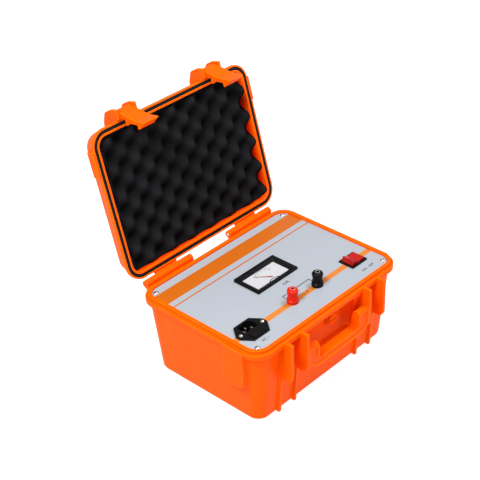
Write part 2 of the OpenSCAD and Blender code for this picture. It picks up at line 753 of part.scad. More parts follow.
// Rocker switch
bezel_h = 2;
switch_deep = 20;
rocker_l = 25;
rocker_w = 18.7;
rocker_up = 1;
rocker_tip = 5;
rocker_r = 13.2;
rocker_angle = 11;
pivot_r = 1.5;
pivot_tail = 0.9;
switch_pivot_z = panel_z + rocker_up;
well_deep = 9;
module switch_frame() color(black_plastic) {
    translate([switch_x, -row_y, panel_z]) difference() {
        union() {
            linear_extrude(bezel_h - soft_edge / 2) rounded(switch_l, switch_w, soft_edge);
            translate([0, 0, bezel_h - soft_edge / 2]) linear_extrude(soft_edge / 2) rounded(switch_l - soft_edge, switch_w - soft_edge, soft_edge);
            translate([0, 0, -switch_deep]) linear_extrude(switch_deep) square([switch_cut_l, switch_cut_w], center = true);
        }
        translate([0, 0, -well_deep]) linear_extrude(well_deep + bezel_h + over) square([rocker_l + 2 * gap, rocker_w + 2 * gap], center = true);
        translate([0, rocker_w / 2 + pivot_tail + gap, rocker_up]) rotate([90, 0, 0])
            cylinder(r = pivot_r + run_gap, h = rocker_w + 2 * (pivot_tail + gap));
    }
}
// Outline of the rocker in X and Z about its pivot, tilted to its off position
rocker_drop = 4;
module rocker_outline() {
    polygon(concat(
        [[-rocker_l / 2 + gap, -rocker_drop / 2]],
        [[-rocker_l / 2 + 2 * gap, rocker_tip], [-rocker_l / 2 + 2 * gap + soft_edge, rocker_tip + soft_edge / 2]],
        [[0, rocker_tip / 2]],
        [[rocker_l / 2 - 2 * gap - soft_edge, rocker_tip + soft_edge / 2], [rocker_l / 2 - 2 * gap, rocker_tip]],
        [[rocker_l / 2 - gap, -rocker_drop / 2], [rocker_l / 5, -rocker_drop], [-rocker_l / 5, -rocker_drop]]));
}
module switch_rocker() color([0.8, 0.1, 0.1, 0.8]) {
    translate([switch_x, -row_y, switch_pivot_z]) rotate([0, rocker_angle, 0]) union() {
        translate([0, rocker_w / 2, 0]) rotate([90, 0, 0]) linear_extrude(rocker_w) rocker_outline();
        translate([0, rocker_w / 2 + pivot_tail, 0]) rotate([90, 0, 0]) cylinder(r = pivot_r, h = rocker_w + 2 * pivot_tail);
    }
}
blade_w = 4.8;
blade_t = 0.8;
blade_l = 9;
blade_x = 7;
blade_y = 5;
module switch_terminals() color(brass_tone) {
    for (x = [-1, 1], y = [-1, 1]) translate([switch_x + x * blade_x, -row_y + y * blade_y, panel_z - switch_deep - blade_l / 2])
        cube([blade_t, blade_w, blade_l - 2 * seat_gap], center = true);
}

// Binding posts
post_base_r = 8;
post_base_h = 5.5;
post_base_lip = 1;
stud_r = 3;
stud_down = 20;
stud_head_r = 5;
stud_head_h = 1.5;
washer_r = 5.5;
washer_t = 1;
bush_r = 7;
bush_h = 3;
nut_big_r = 5;
nut_big_h = 3;
socket_deep_h = 14;
cap_waist = 1;
cap_top_h = 2.2;
stud_up = cap_h - cap_top_h - gap;
cap_z = panel_z + post_base_h + washer_t;
module post_at(s) {
    translate([s * post_pitch / 2, -row_y, 0]) children();
}
// Collar with its neck through the panel, and the insulating bush under the panel
module post_base() {
    difference() {
        union() {
            translate([0, 0, panel_z]) rotate_extrude() polygon([
                [0, 0], [post_base_r, 0], [post_base_r, post_base_h - post_base_lip],
                [post_base_r - post_base_lip, post_base_h], [0, post_base_h]]);
            translate([0, 0, plate_z + gap]) cylinder(r = post_neck_r, h = plate_t);
            translate([0, 0, plate_z - bush_h]) cylinder(r = bush_r, h = bush_h);
        }
        translate([0, 0, plate_z - bush_h - over]) cylinder(r = stud_r + seat_gap, h = bush_h + plate_t + post_base_h + 2 * over);
        translate([0, 0, panel_z + post_base_h - stud_head_h]) cylinder(r = stud_head_r + seat_gap, h = stud_head_h + over);
    }
}
module post_stud() {
    difference() {
        union() {
            translate([0, 0, panel_z - stud_down]) cylinder(r = stud_r, h = stud_down + post_base_h + washer_t + stud_up);
            translate([0, 0, panel_z + post_base_h - stud_head_h]) cylinder(r = stud_head_r, h = stud_head_h);
        }
        translate([0, 0, cap_z + stud_up - socket_deep_h]) cylinder(r = socket_d / 2, h = socket_deep_h + over);
    }
}
module post_washer() {
    translate([0, 0, cap_z - washer_t]) difference() {
        cylinder(r = washer_r, h = washer_t);
        translate([0, 0, -over]) cylinder(r = stud_r + run_gap, h = washer_t + 2 * over);
    }
}
// Knurled cap with a waist, open at the top for a plug
cap_ridges = 20;
ridge_r = 0.6;
cap_round = 2;
module post_cap() {
    r = cap_d / 2 - ridge_r / 2;
    difference() {
        union() {
            translate([0, 0, cap_z]) rotate_extrude() polygon(concat(
                [[0, 0], [r - soft_edge, 0], [r - soft_edge / 4, soft_edge], [r - soft_edge / 4, cap_h * 0.12]],
                [[r - cap_waist * 0.9, cap_h * 0.28], [r - cap_waist, cap_h * 0.4], [r - cap_waist * 0.7, cap_h * 0.5], [r, cap_h * 0.62]],
                arc([r - cap_round, cap_h - cap_round], cap_round, 0, 90, 5),
                [[0, cap_h]]));
            for (i = [0:cap_ridges - 1]) rotate([0, 0, i * 360 / cap_ridges])
                translate([r - ridge_r / 3, 0, cap_z + cap_h * 0.6]) cylinder(r = ridge_r, h = cap_h * 0.4 - cap_round, $fn = 16);
        }
        translate([0, 0, cap_z - over]) cylinder(r = stud_r + run_gap, h = cap_h - cap_top_h + over);
        translate([0, 0, cap_z]) cylinder(r = socket_d / 2 + gap, h = cap_h + over);
    }
}
module post_nuts() {
    for (i = [0, 1]) translate([0, 0, plate_z - bush_h - (i + 1) * nut_big_h]) difference() {
        cylinder(r = nut_big_r, h = nut_big_h, $fn = 6);
        translate([0, 0, -over]) cylinder(r = stud_r + run_gap, h = nut_big_h + 2 * over, $fn = 48);
    }
}
module red_base() color(post_red) post_at(-1) post_base();
module red_stud() color(bright_metal) post_at(-1) post_stud();
module red_washer() color(bright_metal) post_at(-1) post_washer();
module red_cap() color(post_red) post_at(-1) post_cap();
module red_nuts() color(bright_metal) post_at(-1) post_nuts();
module black_base() color(black_plastic) post_at(1) post_base();
module black_stud() color(bright_metal) post_at(1) post_stud();
module black_washer() color(bright_metal) post_at(1) post_washer();
module black_cap() color(black_plastic) post_at(1) post_cap();
module black_nuts() color(bright_metal) post_at(1) post_nuts();

// Places of the transformer and of the circuit board beside it, from the tub's end walls
core_l = 66;
core_w = 34;
core_h = 56;
core_window = 11;
core_leg = 22;
core_in = 51.3;
core_x = core_in + wall - half_x(0);
core_y = 10;
winding_over = 9;
strap_t = 1.5;
strap_foot = 12;

// Circuit board on four pillars that stand on the floor of the tub
board_room = 21.3;
board_apart = 4.6;
board_right = half_x(0) - wall - board_room;
board_left = core_x + core_l / 2 + gap + strap_foot + board_apart;
board_l = board_right - board_left;
board_x = (board_right + board_left) / 2;
board_w = 110;
board_t = 1.6;
board_y = 8;
board_z = 18;
board_hole_in = 6;
pillar_r = 3.5;
stand_screw_r = 1.5;
module circuit_board() color([0.1, 0.4, 0.2]) {
    translate([board_x, board_y, board_z]) linear_extrude(board_t) difference() {
        square([board_l, board_w], center = true);
        for (x = [-1, 1], y = [-1, 1])
            translate([x * (board_l / 2 - board_hole_in), y * (board_w / 2 - board_hole_in)]) circle(stand_screw_r + seat_gap);
    }
}
module board_pillars() color(bright_metal) {
    for (x = [-1, 1], y = [-1, 1])
        translate([board_x + x * (board_l / 2 - board_hole_in), board_y + y * (board_w / 2 - board_hole_in), wall]) {
            cylinder(r = pillar_r, h = board_z - wall);
            cylinder(r = stand_screw_r, h = board_z - wall + board_t + stand_screw_r);
            translate([0, 0, board_z - wall + board_t + seat_gap]) cylinder(r = pillar_r - stand_screw_r / 2, h = stand_screw_r);
        }
}
cap_r = board_l / 12;
cap_tall = 35;
cap_pitch = board_l / 5;
module capacitors() color([0.15, 0.2, 0.45]) {
    for (i = [0:2]) translate([board_x - board_l / 3 + i * cap_pitch, board_y - board_w / 3, board_z + board_t + seat_gap]) rotate_extrude()
        polygon([[0, 0], [cap_r, 0], [cap_r, cap_tall - soft_edge], [cap_r - soft_edge, cap_tall], [0, cap_tall]]);
}
relay_l = board_l * 0.2;
relay_w = 13;
relay_h = 20;
module power_relay() color([0.2, 0.45, 0.7]) {
    translate([board_x + board_l * 0.34, board_y - board_w / 3, board_z + board_t + seat_gap]) linear_extrude(relay_h) rounded(relay_l, relay_w, soft_edge);
}
sink_l = board_l * 0.6;
sink_w = 26;
sink_h = 40;
sink_base = 4;
sink_fin = 1.6;
sink_fins = 9;
module heat_sink() color(bright_metal) {
    translate([board_x, board_y + board_w / 4, board_z + board_t + seat_gap]) {
        translate([-sink_l / 2, -sink_w / 2, 0]) cube([sink_l, sink_base, sink_h]);
        for (i = [0:sink_fins - 1])
            translate([-sink_l / 2 + i * (sink_l - sink_fin) / (sink_fins - 1), -sink_w / 2, 0]) cube([sink_fin, sink_w, sink_h]);
    }
}

// Mains transformer on the floor of the tub
module at_core(z) {
    translate([core_x, core_y, z]) children();
}
module transformer_core() color([0.35, 0.35, 0.38]) {
    at_core(wall + seat_gap) difference() {
        translate([-core_l / 2, -core_w / 2, 0]) cube([core_l, core_w, core_h]);
        for (s = [-1, 1]) translate([s * (core_leg + core_window) / 2 - core_window / 2, -core_w / 2 - over, core_leg / 2])
            cube([core_window, core_w + 2 * over, core_h - core_leg]);
    }
}
module transformer_winding() color([0.75, 0.65, 0.3]) {
    at_core(wall + seat_gap + core_leg / 2 + gap) linear_extrude(core_h - core_leg - 2 * gap) difference() {
        rounded(core_leg + 2 * core_window - 2 * gap, core_w + 2 * winding_over, core_window / 2);
        square([core_leg + 2 * gap, core_w + 2 * gap], center = true);
    }
}
module transformer_clamp() color(bright_metal) {
    at_core(wall) for (y = [-1, 1]) {
        translate([0, y * (core_w / 2 - strap_t), 0]) along_y(-strap_t, 2 * strap_t) difference() {
            translate([-core_l / 2 - strap_t - gap, 0]) square([core_l + 2 * strap_t + 2 * gap, core_h + seat_gap + gap + strap_t]);
            translate([-core_l / 2 - gap, -over]) square([core_l + 2 * gap, core_h + seat_gap + gap + over]);
        }
        for (s = [-1, 1]) translate([s * (core_l / 2 + gap + strap_foot / 2), y * (core_w / 2 - strap_t), strap_t / 2])
            cube([strap_foot, 2 * strap_t, strap_t], center = true);
    }
}

// Lid
lid_wall = 3;
lid_top_z = rim_z + lid_h;
lid_half_x = case_l / 2 - flange_over;
lid_half_y = case_w / 2 - flange_over;
lid_corner_r = corner_r - flange_over;
lid_flange_in = 1.5;
lid_lean = 4;
lid_round = 11;
lip_in = 2.75;
cavity_l = tongue_l - 2 * tongue_w - 2 * lip_in;
cavity_w = tongue_wide - 2 * tongue_w - 2 * lip_in;
cavity_r = corner_r - tongue_in - tongue_w - lip_in;
round_steps = [0, 18, 36, 54, 72, 90];
// A shallow dome from z0 to z1 with its top edges rounded by r
module dome(half_l, half_w, r_corner, r, z0, z1) {
    hull() {
        translate([0, 0, z0]) linear_extrude(slab) rounded(2 * half_l, 2 * half_w, r_corner, $fn = hull_fn);
        for (a = round_steps) {
            in = lid_lean + r * (1 - cos(a));
            translate([0, 0, z1 - r + r * sin(a) - slab]) linear_extrude(slab)
                rounded(2 * (half_l - in), 2 * (half_w - in), r_corner - in * 0.5, $fn = hull_fn);
        }
    }
}
lid_pad_h = 22;
lid_pad_out = 0.9;
module lid_pad(side) {
    x0 = lid_half_x - lid_lean - lid_wall;
    x1 = case_l / 2 + lid_pad_out;
    along_y(-pad_y1, pad_y1 - pad_y0) polygon([
        [side * x0, rim_z], [side * x1, rim_z], [side * x1, rim_z + lid_flange_h + soft_edge],
        [side * x0, rim_z + lid_pad_h]]);
}
// Ears of the lid, which stand just above the fins of the base when the lid is closed
ear_out = 13.8;
ear_top = 29.5;
ear_r = 9;
ear_slope = 2;
ear_bottom = base_h + gap;
module lid_ear(x) {
    y1 = case_w / 2 + ear_out;
    along_x(x, ear_t) polygon(concat(
        [[-(lid_half_y - lid_lean - lid_wall), rim_z + lid_flange_h],
         [-(case_w / 2 - lid_flange_in - soft_edge), rim_z + lid_flange_h / 2],
         [-(case_w / 2 - lid_flange_in - soft_edge), rim_z + soft_edge]],
        [[-(case_w / 2 + gap), rim_z - soft_edge], [-(case_w / 2 + gap), ear_bottom], [-(y1 - soft_edge), ear_bottom], [-y1, ear_bottom + soft_edge]],
        [[-y1, rim_z + ear_top * 0.3]],
        arc([-(y1 - ear_r - ear_slope), rim_z + ear_top * 0.48], ear_r, 170, 125, 6),
        [[-(lid_half_y + soft_edge), rim_z + ear_top - ear_slope], [-(lid_half_y - lid_lean - lid_round * 0.6), rim_z + ear_top]]));
}
// The latch pins end inside the ears
ear_reach = fin_step + ear_t / 2 - pin_skin;
latch_pin_out = 6.7;
latch_pin_up = 3.7;
latch_pivot_y = case_w / 2 + latch_pin_out;
latch_pivot_z = rim_z + latch_pin_up;
arm_top = 8;
module lid_knuckle(s) {
    x0 = min(s * hinge_mid0, s * hinge_mid1);
    x1 = max(s * hinge_mid0, s * hinge_mid1);
    opened() {
        rod_x(x0, x1, hinge_y, hinge_z, barrel_r);
        along_x((x0 + x1) / 2, x1 - x0) polygon([
            [case_w / 2 - lid_flange_in - soft_edge, rim_z + soft_edge],
            [case_w / 2 - lid_flange_in - soft_edge, rim_z + seal_h + soft_edge],
            [lid_half_y - soft_edge, rim_z + seal_h + soft_edge], [lid_half_y - soft_edge, rim_z + arm_top],
            [case_w / 2 + 2 * soft_edge, rim_z + arm_top], [hinge_y + barrel_r * 0.85, hinge_z],
            [hinge_y - barrel_r * 0.85, hinge_z], [hinge_y - barrel_r * 0.85, rim_z + soft_edge]]);
    }
    // Heel that meets the back of the base's flange when the lid is open
    along_x((x0 + x1) / 2, x1 - x0) polygon([
        [case_w / 2 + rim_gap, base_h - flange_h * 0.8], [case_w / 2 + rim_gap, base_h - soft_edge],
        [hinge_y - barrel_r * 0.8, hinge_z], [hinge_y, hinge_z - hinge_pin_d], [hinge_y, hinge_z - barrel_r * 0.8],
        [hinge_y - barrel_r * 0.4, base_h - flange_h * 0.8]]);
}
// Flange of the lid: upright at its rim, then sloped in to the dome
module lid_flange() {
    out = flange_over - lid_flange_in;
    hull() {
        translate([0, 0, rim_z]) linear_extrude(lid_flange_h * 0.4)
            rounded(case_l - 2 * lid_flange_in, case_w - 2 * lid_flange_in, corner_r - lid_flange_in, $fn = hull_fn);
        translate([0, 0, rim_z + lid_flange_h - slab]) linear_extrude(slab)
            rounded(2 * lid_half_x, 2 * lid_half_y, corner_r - lid_flange_in - out, $fn = hull_fn);
    }
}
top_frame_in = 24;
top_frame_h = 1.2;
module lid_shell() color(shell_orange) {
    difference() {
        union() {
            opened() difference() {
                union() {
                    dome(lid_half_x, lid_half_y, lid_corner_r, lid_round, rim_z + lid_flange_h / 2, lid_top_z - top_frame_h);
                    lid_flange();
                    translate([0, 0, lid_top_z - top_frame_h - slab]) linear_extrude(top_frame_h + slab)
                        rounded(2 * (lid_half_x - top_frame_in), 2 * (lid_half_y - top_frame_in), lid_round);
                    for (s = [-1, 1]) lid_pad(s);
                    for (s = [-1, 1], t = [-1, 1]) lid_ear(s * latch_x + t * fin_step);
                }
                hull() {
                    translate([0, 0, rim_z - over]) linear_extrude(slab) rounded(cavity_l, cavity_w, cavity_r, $fn = hull_fn);
                    translate([0, 0, lid_top_z - lid_wall - lid_round / 2]) linear_extrude(slab)
                        rounded(cavity_l - lid_lean, cavity_w - lid_lean, cavity_r - lid_lean / 2, $fn = hull_fn);
                    translate([0, 0, lid_top_z - lid_wall - top_frame_h]) linear_extrude(slab)
                        rounded(cavity_l - lid_round, cavity_w - lid_round, cavity_r - lid_round / 3, $fn = hull_fn);
                }
                translate([0, 0, rim_z - over]) rounded_ring(seal_l + 2 * seat_gap, seal_wide + 2 * seat_gap, seal_r + seat_gap,
                                                             seal_w + 2 * seat_gap, seal_h + over);
                for (s = [-1, 1]) rod_x(s * latch_x - ear_reach, s * latch_x + ear_reach, -latch_pivot_y, latch_pivot_z, latch_pin_d / 2 + run_gap);
            }
            for (s = [-1, 1]) lid_knuckle(s);
        }
        for (s = [-1, 1]) rod_x(min(s * (hinge_mid0 - over), s * (hinge_mid1 + over)), max(s * (hinge_mid0 - over), s * (hinge_mid1 + over)),
                                hinge_y, hinge_z, hinge_pin_d / 2 + run_gap);
    }
}
// The seal lies over the tongue's middle line
seal_l = tongue_l - tongue_w + seal_w;
seal_wide = tongue_wide - tongue_w + seal_w;
seal_r = corner_r - tongue_in - tongue_w / 2 + seal_w / 2;
module lid_seal() color(black_plastic) {
    opened() translate([0, 0, rim_z]) rounded_ring(seal_l, seal_wide, seal_r, seal_w, seal_h);
}

// Egg-crate foam: crests and hollows alternate over a grid
foam_l = cavity_l - 2 * rim_gap;
foam_w = cavity_w - 2 * rim_gap;
foam_r = cavity_r - rim_gap;
foam_nx = ceil(foam_l / foam_pitch * 5.4);
foam_ny = ceil(foam_w / foam_pitch * 5.4);
foam_back = lid_top_z - lid_wall - top_frame_h - gap;
foam_mid = rim_z + foam_crest_in + foam_relief / 2;
foam_phase_x = 18.4;
foam_phase_y = 4.8;
function foam_z(x, y) = foam_mid - foam_relief / 2
    * cos(360 * (x - foam_phase_x) / foam_pitch) * cos(360 * (y - foam_phase_y) / foam_pitch);
// Half the foam's length at a distance y from its middle line, round its corners
function foam_half(y) = let (d = max(0, abs(y) - foam_w / 2 + foam_r))
    foam_l / 2 - foam_r + sqrt(max(0, foam_r * foam_r - d * d));
// The cavity narrows by lid_lean between the rim and the bend of the dome
function foam_in(z) = lid_lean * (z - rim_z + over) / (lid_h - lid_wall - lid_round / 2 + over);
module lid_foam() color([0.07, 0.07, 0.08]) {
    us = [for (i = [0:foam_nx]) 2 * i / foam_nx - 1];
    ys = [for (j = [0:foam_ny]) -foam_w / 2 + foam_w * j / foam_ny];
    row = foam_ny + 1;
    under = [for (u = us, y = ys) let (x = u * foam_half(y), z = foam_z(x, y), in = foam_in(z))
        [x * (1 - in / foam_l), y * (1 - in / foam_w), z]];
    back_in = lid_round;
    top = [[-1, -1], [1, -1], [1, 1], [-1, 1]];
    n = len(under);
    corners = [for (c = top) [c[0] * (foam_l / 2 - back_in), c[1] * (foam_w / 2 - back_in), foam_back]];
    // The side walls fan from each lower edge to the back's corners
    // Each square of the grid is cut along its steeper diagonal, so that every bump has the same facets
    faces_under = [for (i = [0:foam_nx - 1], j = [0:foam_ny - 1])
        let (a = i * row + j, b = a + 1, c = a + row + 1, d = a + row)
        each (abs(under[a][2] - under[c][2]) > abs(under[b][2] - under[d][2])
            ? [[a, b, c], [a, c, d]] : [[a, b, d], [b, c, d]])];
    side_front = [for (i = [0:foam_nx - 1]) [i * row, (i + 1) * row, i < foam_nx / 2 ? n : n + 1]];
    side_back = [for (i = [0:foam_nx - 1]) [(i + 1) * row + foam_ny, i * row + foam_ny, i < foam_nx / 2 ? n + 3 : n + 2]];
    side_left = [for (j = [0:foam_ny - 1]) [j + 1, j, j < foam_ny / 2 ? n : n + 3]];
    side_right = [for (j = [0:foam_ny - 1]) [foam_nx * row + j, foam_nx * row + j + 1, j < foam_ny / 2 ? n + 1 : n + 2]];
    mid_x = ceil(foam_nx / 2);
    mid_y = ceil(foam_ny / 2);
    joins = [
        [mid_x * row, n + 1, n], [mid_x * row + foam_ny, n + 3, n + 2],
        [mid_y, n, n + 3], [foam_nx * row + mid_y, n + 2, n + 1],
        [n, n + 1, n + 2], [n, n + 2, n + 3]];
    opened() polyhedron(points = concat(under, corners), faces = concat(faces_under, side_front, side_back, side_left, side_right, joins), convexity = 6);
}

module latch_pins() color(bright_metal) {
    reach = ear_reach - seat_gap;
    opened() for (s = [-1, 1]) rod_x(s * latch_x - reach, s * latch_x + reach, -latch_pivot_y, latch_pivot_z, latch_pin_d / 2);
}

// Latch: a plate that hangs from its pin, a catch that reaches under the flange, and a finger hook
latch_r = 5;
latch_w = bay_w - 2 * gap;
latch_drop = 43.5;
latch_deep = 13.9;
catch_in = 8;
catch_h = 3.1;
latch_clear = 0.6;
// Front face, finger hook and the hollow above it, as shares of latch_deep and latch_drop from
// the flange's front edge and the ledge
latch_shares = [[0.06, 0.59], [0.15, 0.96], [0.21, 1], [0.86, 0.71], [0.88, 0.67], [0.46, 0.66], [0.34, 0.42], [0.25, 0.27]];
module latch_outline() {
    polygon(concat(
        arc([-latch_pivot_y, latch_pivot_z], latch_r, 10, 195, 10),
        [for (p = latch_shares) [-case_w / 2 + p[0] * latch_deep, base_h - p[1] * latch_drop]],
        [[-case_w / 2 + catch_in - gap, base_h - flange_h - gap - catch_h], [-case_w / 2 + catch_in, base_h - flange_h - gap]],
        [[-case_w / 2 - latch_clear, base_h - flange_h - gap], [-case_w / 2 - latch_clear, base_h + soft_edge]]));
}
module latch(s) {
    opened() difference() {
        along_x(s * latch_x, latch_w) latch_outline();
        rod_x(s * latch_x - bay_w, s * latch_x + bay_w, -latch_pivot_y, latch_pivot_z, latch_pin_d / 2 + run_gap);
    }
}
module latch_left() color(shell_orange) latch(-1);
module latch_right() color(shell_orange) latch(1);

base_shell();
face_plate();
panel_screws();
hinge_pins();
handle();
handle_pins();
valve_body();
valve_knob();
valve_seal();
meter_housing();
meter_dial();
meter_shield();
meter_glass();
meter_movement();
meter_needle();
meter_nuts();
inlet_body();
inlet_pins();
inlet_screws();
fuse_drawer();
fuse();
switch_frame();
switch_rocker();
switch_terminals();
red_base();
red_stud();
red_washer();
red_cap();
red_nuts();
black_base();
black_stud();
black_washer();
black_cap();
black_nuts();
circuit_board();
board_pillars();
capacitors();
power_relay();
heat_sink();
transformer_core();
transformer_winding();
transformer_clamp();
lid_shell();
lid_seal();
lid_foam();
latch_pins();
latch_left();
latch_right();
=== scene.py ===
import math

import bmesh
import bpy
from mathutils import Matrix, Vector


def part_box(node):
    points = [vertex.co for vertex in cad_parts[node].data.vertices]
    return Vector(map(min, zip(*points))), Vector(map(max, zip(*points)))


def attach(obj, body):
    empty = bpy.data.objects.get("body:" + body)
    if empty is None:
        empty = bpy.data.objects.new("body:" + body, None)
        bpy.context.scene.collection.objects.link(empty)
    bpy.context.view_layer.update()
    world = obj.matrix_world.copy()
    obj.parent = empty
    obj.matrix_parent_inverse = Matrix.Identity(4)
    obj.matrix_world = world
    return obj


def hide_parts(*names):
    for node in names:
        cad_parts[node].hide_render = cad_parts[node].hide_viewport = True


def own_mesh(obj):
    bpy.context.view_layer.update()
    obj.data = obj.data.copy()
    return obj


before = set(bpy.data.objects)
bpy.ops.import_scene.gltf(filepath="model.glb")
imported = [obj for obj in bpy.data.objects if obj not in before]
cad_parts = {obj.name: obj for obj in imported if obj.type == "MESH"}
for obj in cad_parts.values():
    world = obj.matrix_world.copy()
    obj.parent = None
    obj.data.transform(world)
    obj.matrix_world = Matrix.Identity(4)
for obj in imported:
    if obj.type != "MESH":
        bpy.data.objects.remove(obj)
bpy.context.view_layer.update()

MM = 0.001

# The photograph's view: the camera's place, its direction in degrees and its lens
CAMERA_AT = Vector((-1006.6, -914.6, 1063.3)) * MM
CAMERA_AZIMUTH = -46.07
CAMERA_ELEVATION = 33.01
CAMERA_ROLL = -2.095
LENS = 92.92
SENSOR = 36.0
CLIP = (0.05, 30.0)

# Main sizes of the model, in millimetres: heights, hinge axis and places on the face plate
PANEL_Z = 120.0
RIM_Z = 123.3
HINGE_Y, HINGE_Z = 114.0, 121.5
OPEN_ANGLE = 105.3
ROW_Y = 59.5
INLET_X, SWITCH_X, POST_X = -104.0, 100.0, 25.0
METER_X, METER_Y = -2.0, 8.3
PIVOT_Y = -0.7
DIAL_Z = PANEL_Z + 0.8


# Camera, light and floor

def make_camera():
    azimuth, elevation, roll = map(math.radians, (CAMERA_AZIMUTH, CAMERA_ELEVATION, CAMERA_ROLL))
    level = math.cos(elevation)
    back = Vector((math.sin(azimuth) * level, -math.cos(azimuth) * level, math.sin(elevation)))
    level_right = Vector((math.cos(azimuth), math.sin(azimuth), 0.0))
    level_up = back.cross(level_right)
    right = math.cos(roll) * level_right + math.sin(roll) * level_up
    up = back.cross(right)
    data = bpy.data.cameras.new("camera")
    data.lens = LENS
    data.sensor_width = SENSOR
    data.sensor_fit = "HORIZONTAL"
    data.clip_start, data.clip_end = CLIP
    camera = bpy.data.objects.new("camera", data)
    camera.matrix_world = Matrix.Translation(CAMERA_AT) @ Matrix((right, up, back)).transposed().to_4x4()
    bpy.context.scene.collection.objects.link(camera)
    bpy.context.scene.camera = camera


# Studio light, in metres and watts: a soft pale room and three panels aimed at the case
ROOM_STRENGTH = 0.5
AIM = Vector((0, 0, 0.1))
# Name, place, width and height, power
LIGHTS = (
    ("key", (-1.3, -0.2, 1.9), (0.8, 0.6), 58),
    ("fill", (0.7, -2.0, 0.9), (1.2, 0.9), 5),
    ("top", (0.75, -0.45, 2.1), (0.6, 0.5), 28))
WHITE = (1, 1, 1, 1)
FLOOR_SIZE, FLOOR_Z = 40, -0.0005
FLOOR_GREY, FLOOR_GLOW = 0.3, 0.9


def area_light(name, place, size, power):
    data = bpy.data.lights.new(name, "AREA")
    data.shape = "RECTANGLE"
    data.size, data.size_y = size
    data.energy = power
    light = bpy.data.objects.new(name, data)
    light.location = place
    light.rotation_euler = (AIM - Vector(place)).to_track_quat("-Z", "Y").to_euler()
    bpy.context.scene.collection.objects.link(light)


def make_light():
    world = bpy.data.worlds.new("studio")
    bpy.context.scene.world = world
    world.use_nodes = True
    background = world.node_tree.nodes["Background"]
    background.inputs["Color"].default_value = WHITE
    background.inputs["Strength"].default_value = ROOM_STRENGTH
    for light in LIGHTS:
        area_light(*light)
    view = bpy.context.scene.view_settings
    view.view_transform = "Standard"
    view.look = "None"


def make_floor():
    """A plain floor with a faint glow of its own, so that it stays white under the case's colour."""
    bpy.ops.mesh.primitive_plane_add(size=FLOOR_SIZE, location=(0, 0, FLOOR_Z))
    floor = bpy.context.object
    floor.name = "floor"
    white = plain("floor_white", (FLOOR_GREY,) * 3, roughness=0.9, specular=0.0)
    shader = white.node_tree.nodes["Principled BSDF"]
    shader.inputs["Emission Color"].default_value = WHITE
    shader.inputs["Emission Strength"].default_value = FLOOR_GLOW
    floor.data.materials.append(white)


# Materials

def plain(name, colour, roughness=0.5, metallic=0.0, specular=0.5, alpha=1.0):
    material = bpy.data.materials.new(name)
    material.use_nodes = True
    shader = material.node_tree.nodes["Principled BSDF"]
    shader.inputs["Base Color"].default_value = (*colour, 1)
    shader.inputs["Roughness"].default_value = roughness
    shader.inputs["Metallic"].default_value = metallic
    shader.inputs["Specular IOR Level"].default_value = specular
    shader.inputs["Alpha"].default_value = alpha
    return material


# Sockets of a colour mix node, and the middle stretch of a noise's values
MIX_SHARE, MIX_A, MIX_B, MIX_OUT = 0, 6, 7, 2
NOISE_LOW, NOISE_HIGH = 0.3, 0.7
# How far a rounded normal leans from the true one where an edge starts and where it is full
EDGE_START, EDGE_FULL = 0.995, 0.75


class Graph:
    """A short way to add nodes to a material and to join them."""

    def __init__(self, material):
        self.tree = material.node_tree
        self.shader = self.tree.nodes["Principled BSDF"]
        self.place = self.add("ShaderNodeTexCoord").outputs["Object"]

    def add(self, kind, **settings):
        node = self.tree.nodes.new(kind)
        for name, value in settings.items():
            setattr(node, name, value)
        return node

    def link(self, source, target):
        if isinstance(source, (int, float, tuple)):
            target.default_value = source
        else:
            self.tree.links.new(source, target)

    def axes(self):
        node = self.add("ShaderNodeSeparateXYZ")
        self.link(self.place, node.inputs[0])
        return node.outputs

    def math(self, operation, a, b=0.0):
        node = self.add("ShaderNodeMath", operation=operation)
        self.link(a, node.inputs[0])
        self.link(b, node.inputs[1])
        return node.outputs[0]

    def noise(self, scale, detail=3.0, rough=0.5):
        node = self.add("ShaderNodeTexNoise")
        node.inputs["Scale"].default_value = scale
        node.inputs["Detail"].default_value = detail
        node.inputs["Roughness"].default_value = rough
        self.link(self.place, node.inputs["Vector"])
        return node.outputs["Fac"]

    def cells(self, scale):
        node = self.add("ShaderNodeTexVoronoi")
        node.inputs["Scale"].default_value = scale
        self.link(self.place, node.inputs["Vector"])
        return node.outputs["Distance"]

    def spread(self, value, low, high, to_low=0.0, to_high=1.0):
        """The value, with low to high stretched over to_low to to_high."""
        node = self.add("ShaderNodeMapRange")
        for name, amount in (("From Min", low), ("From Max", high), ("To Min", to_low), ("To Max", to_high)):
            node.inputs[name].default_value = amount
        self.link(value, node.inputs["Value"])
        return node.outputs["Result"]

    def mix(self, share, a, b):
        node = self.add("ShaderNodeMix", data_type="RGBA")
        self.link(share, node.inputs[MIX_SHARE])
        self.link((*a, 1.0) if isinstance(a, tuple) else a, node.inputs[MIX_A])
        self.link((*b, 1.0) if isinstance(b, tuple) else b, node.inputs[MIX_B])
        return node.outputs[MIX_OUT]

    def colour(self, value):
        self.link(value, self.shader.inputs["Base Color"])

    def rough(self, value, low, high):
        self.link(self.spread(value, NOISE_LOW, NOISE_HIGH, low, high), self.shader.inputs["Roughness"])

    def bump(self, height, distance, strength=1.0, under=None):
        node = self.add("ShaderNodeBump")
        node.inputs["Strength"].default_value = strength
        node.inputs["Distance"].default_value = distance
        self.link(height, node.inputs["Height"])
        if under is not None:
            self.link(under, node.inputs["Normal"])
        self.link(node.outputs["Normal"], self.shader.inputs["Normal"])

    def soft_edges(self, radius):
        """Normals rounded over sharp edges, and a mask that is 1 along them."""
        rounded = self.add("ShaderNodeBevel", samples=6)
        rounded.inputs["Radius"].default_value = radius
        true = self.add("ShaderNodeNewGeometry").outputs["Normal"]
        dot = self.add("ShaderNodeVectorMath", operation="DOT_PRODUCT")
        self.link(rounded.outputs["Normal"], dot.inputs[0])
        self.link(true, dot.inputs[1])
        return rounded.outputs["Normal"], self.spread(dot.outputs["Value"], EDGE_START, EDGE_FULL)


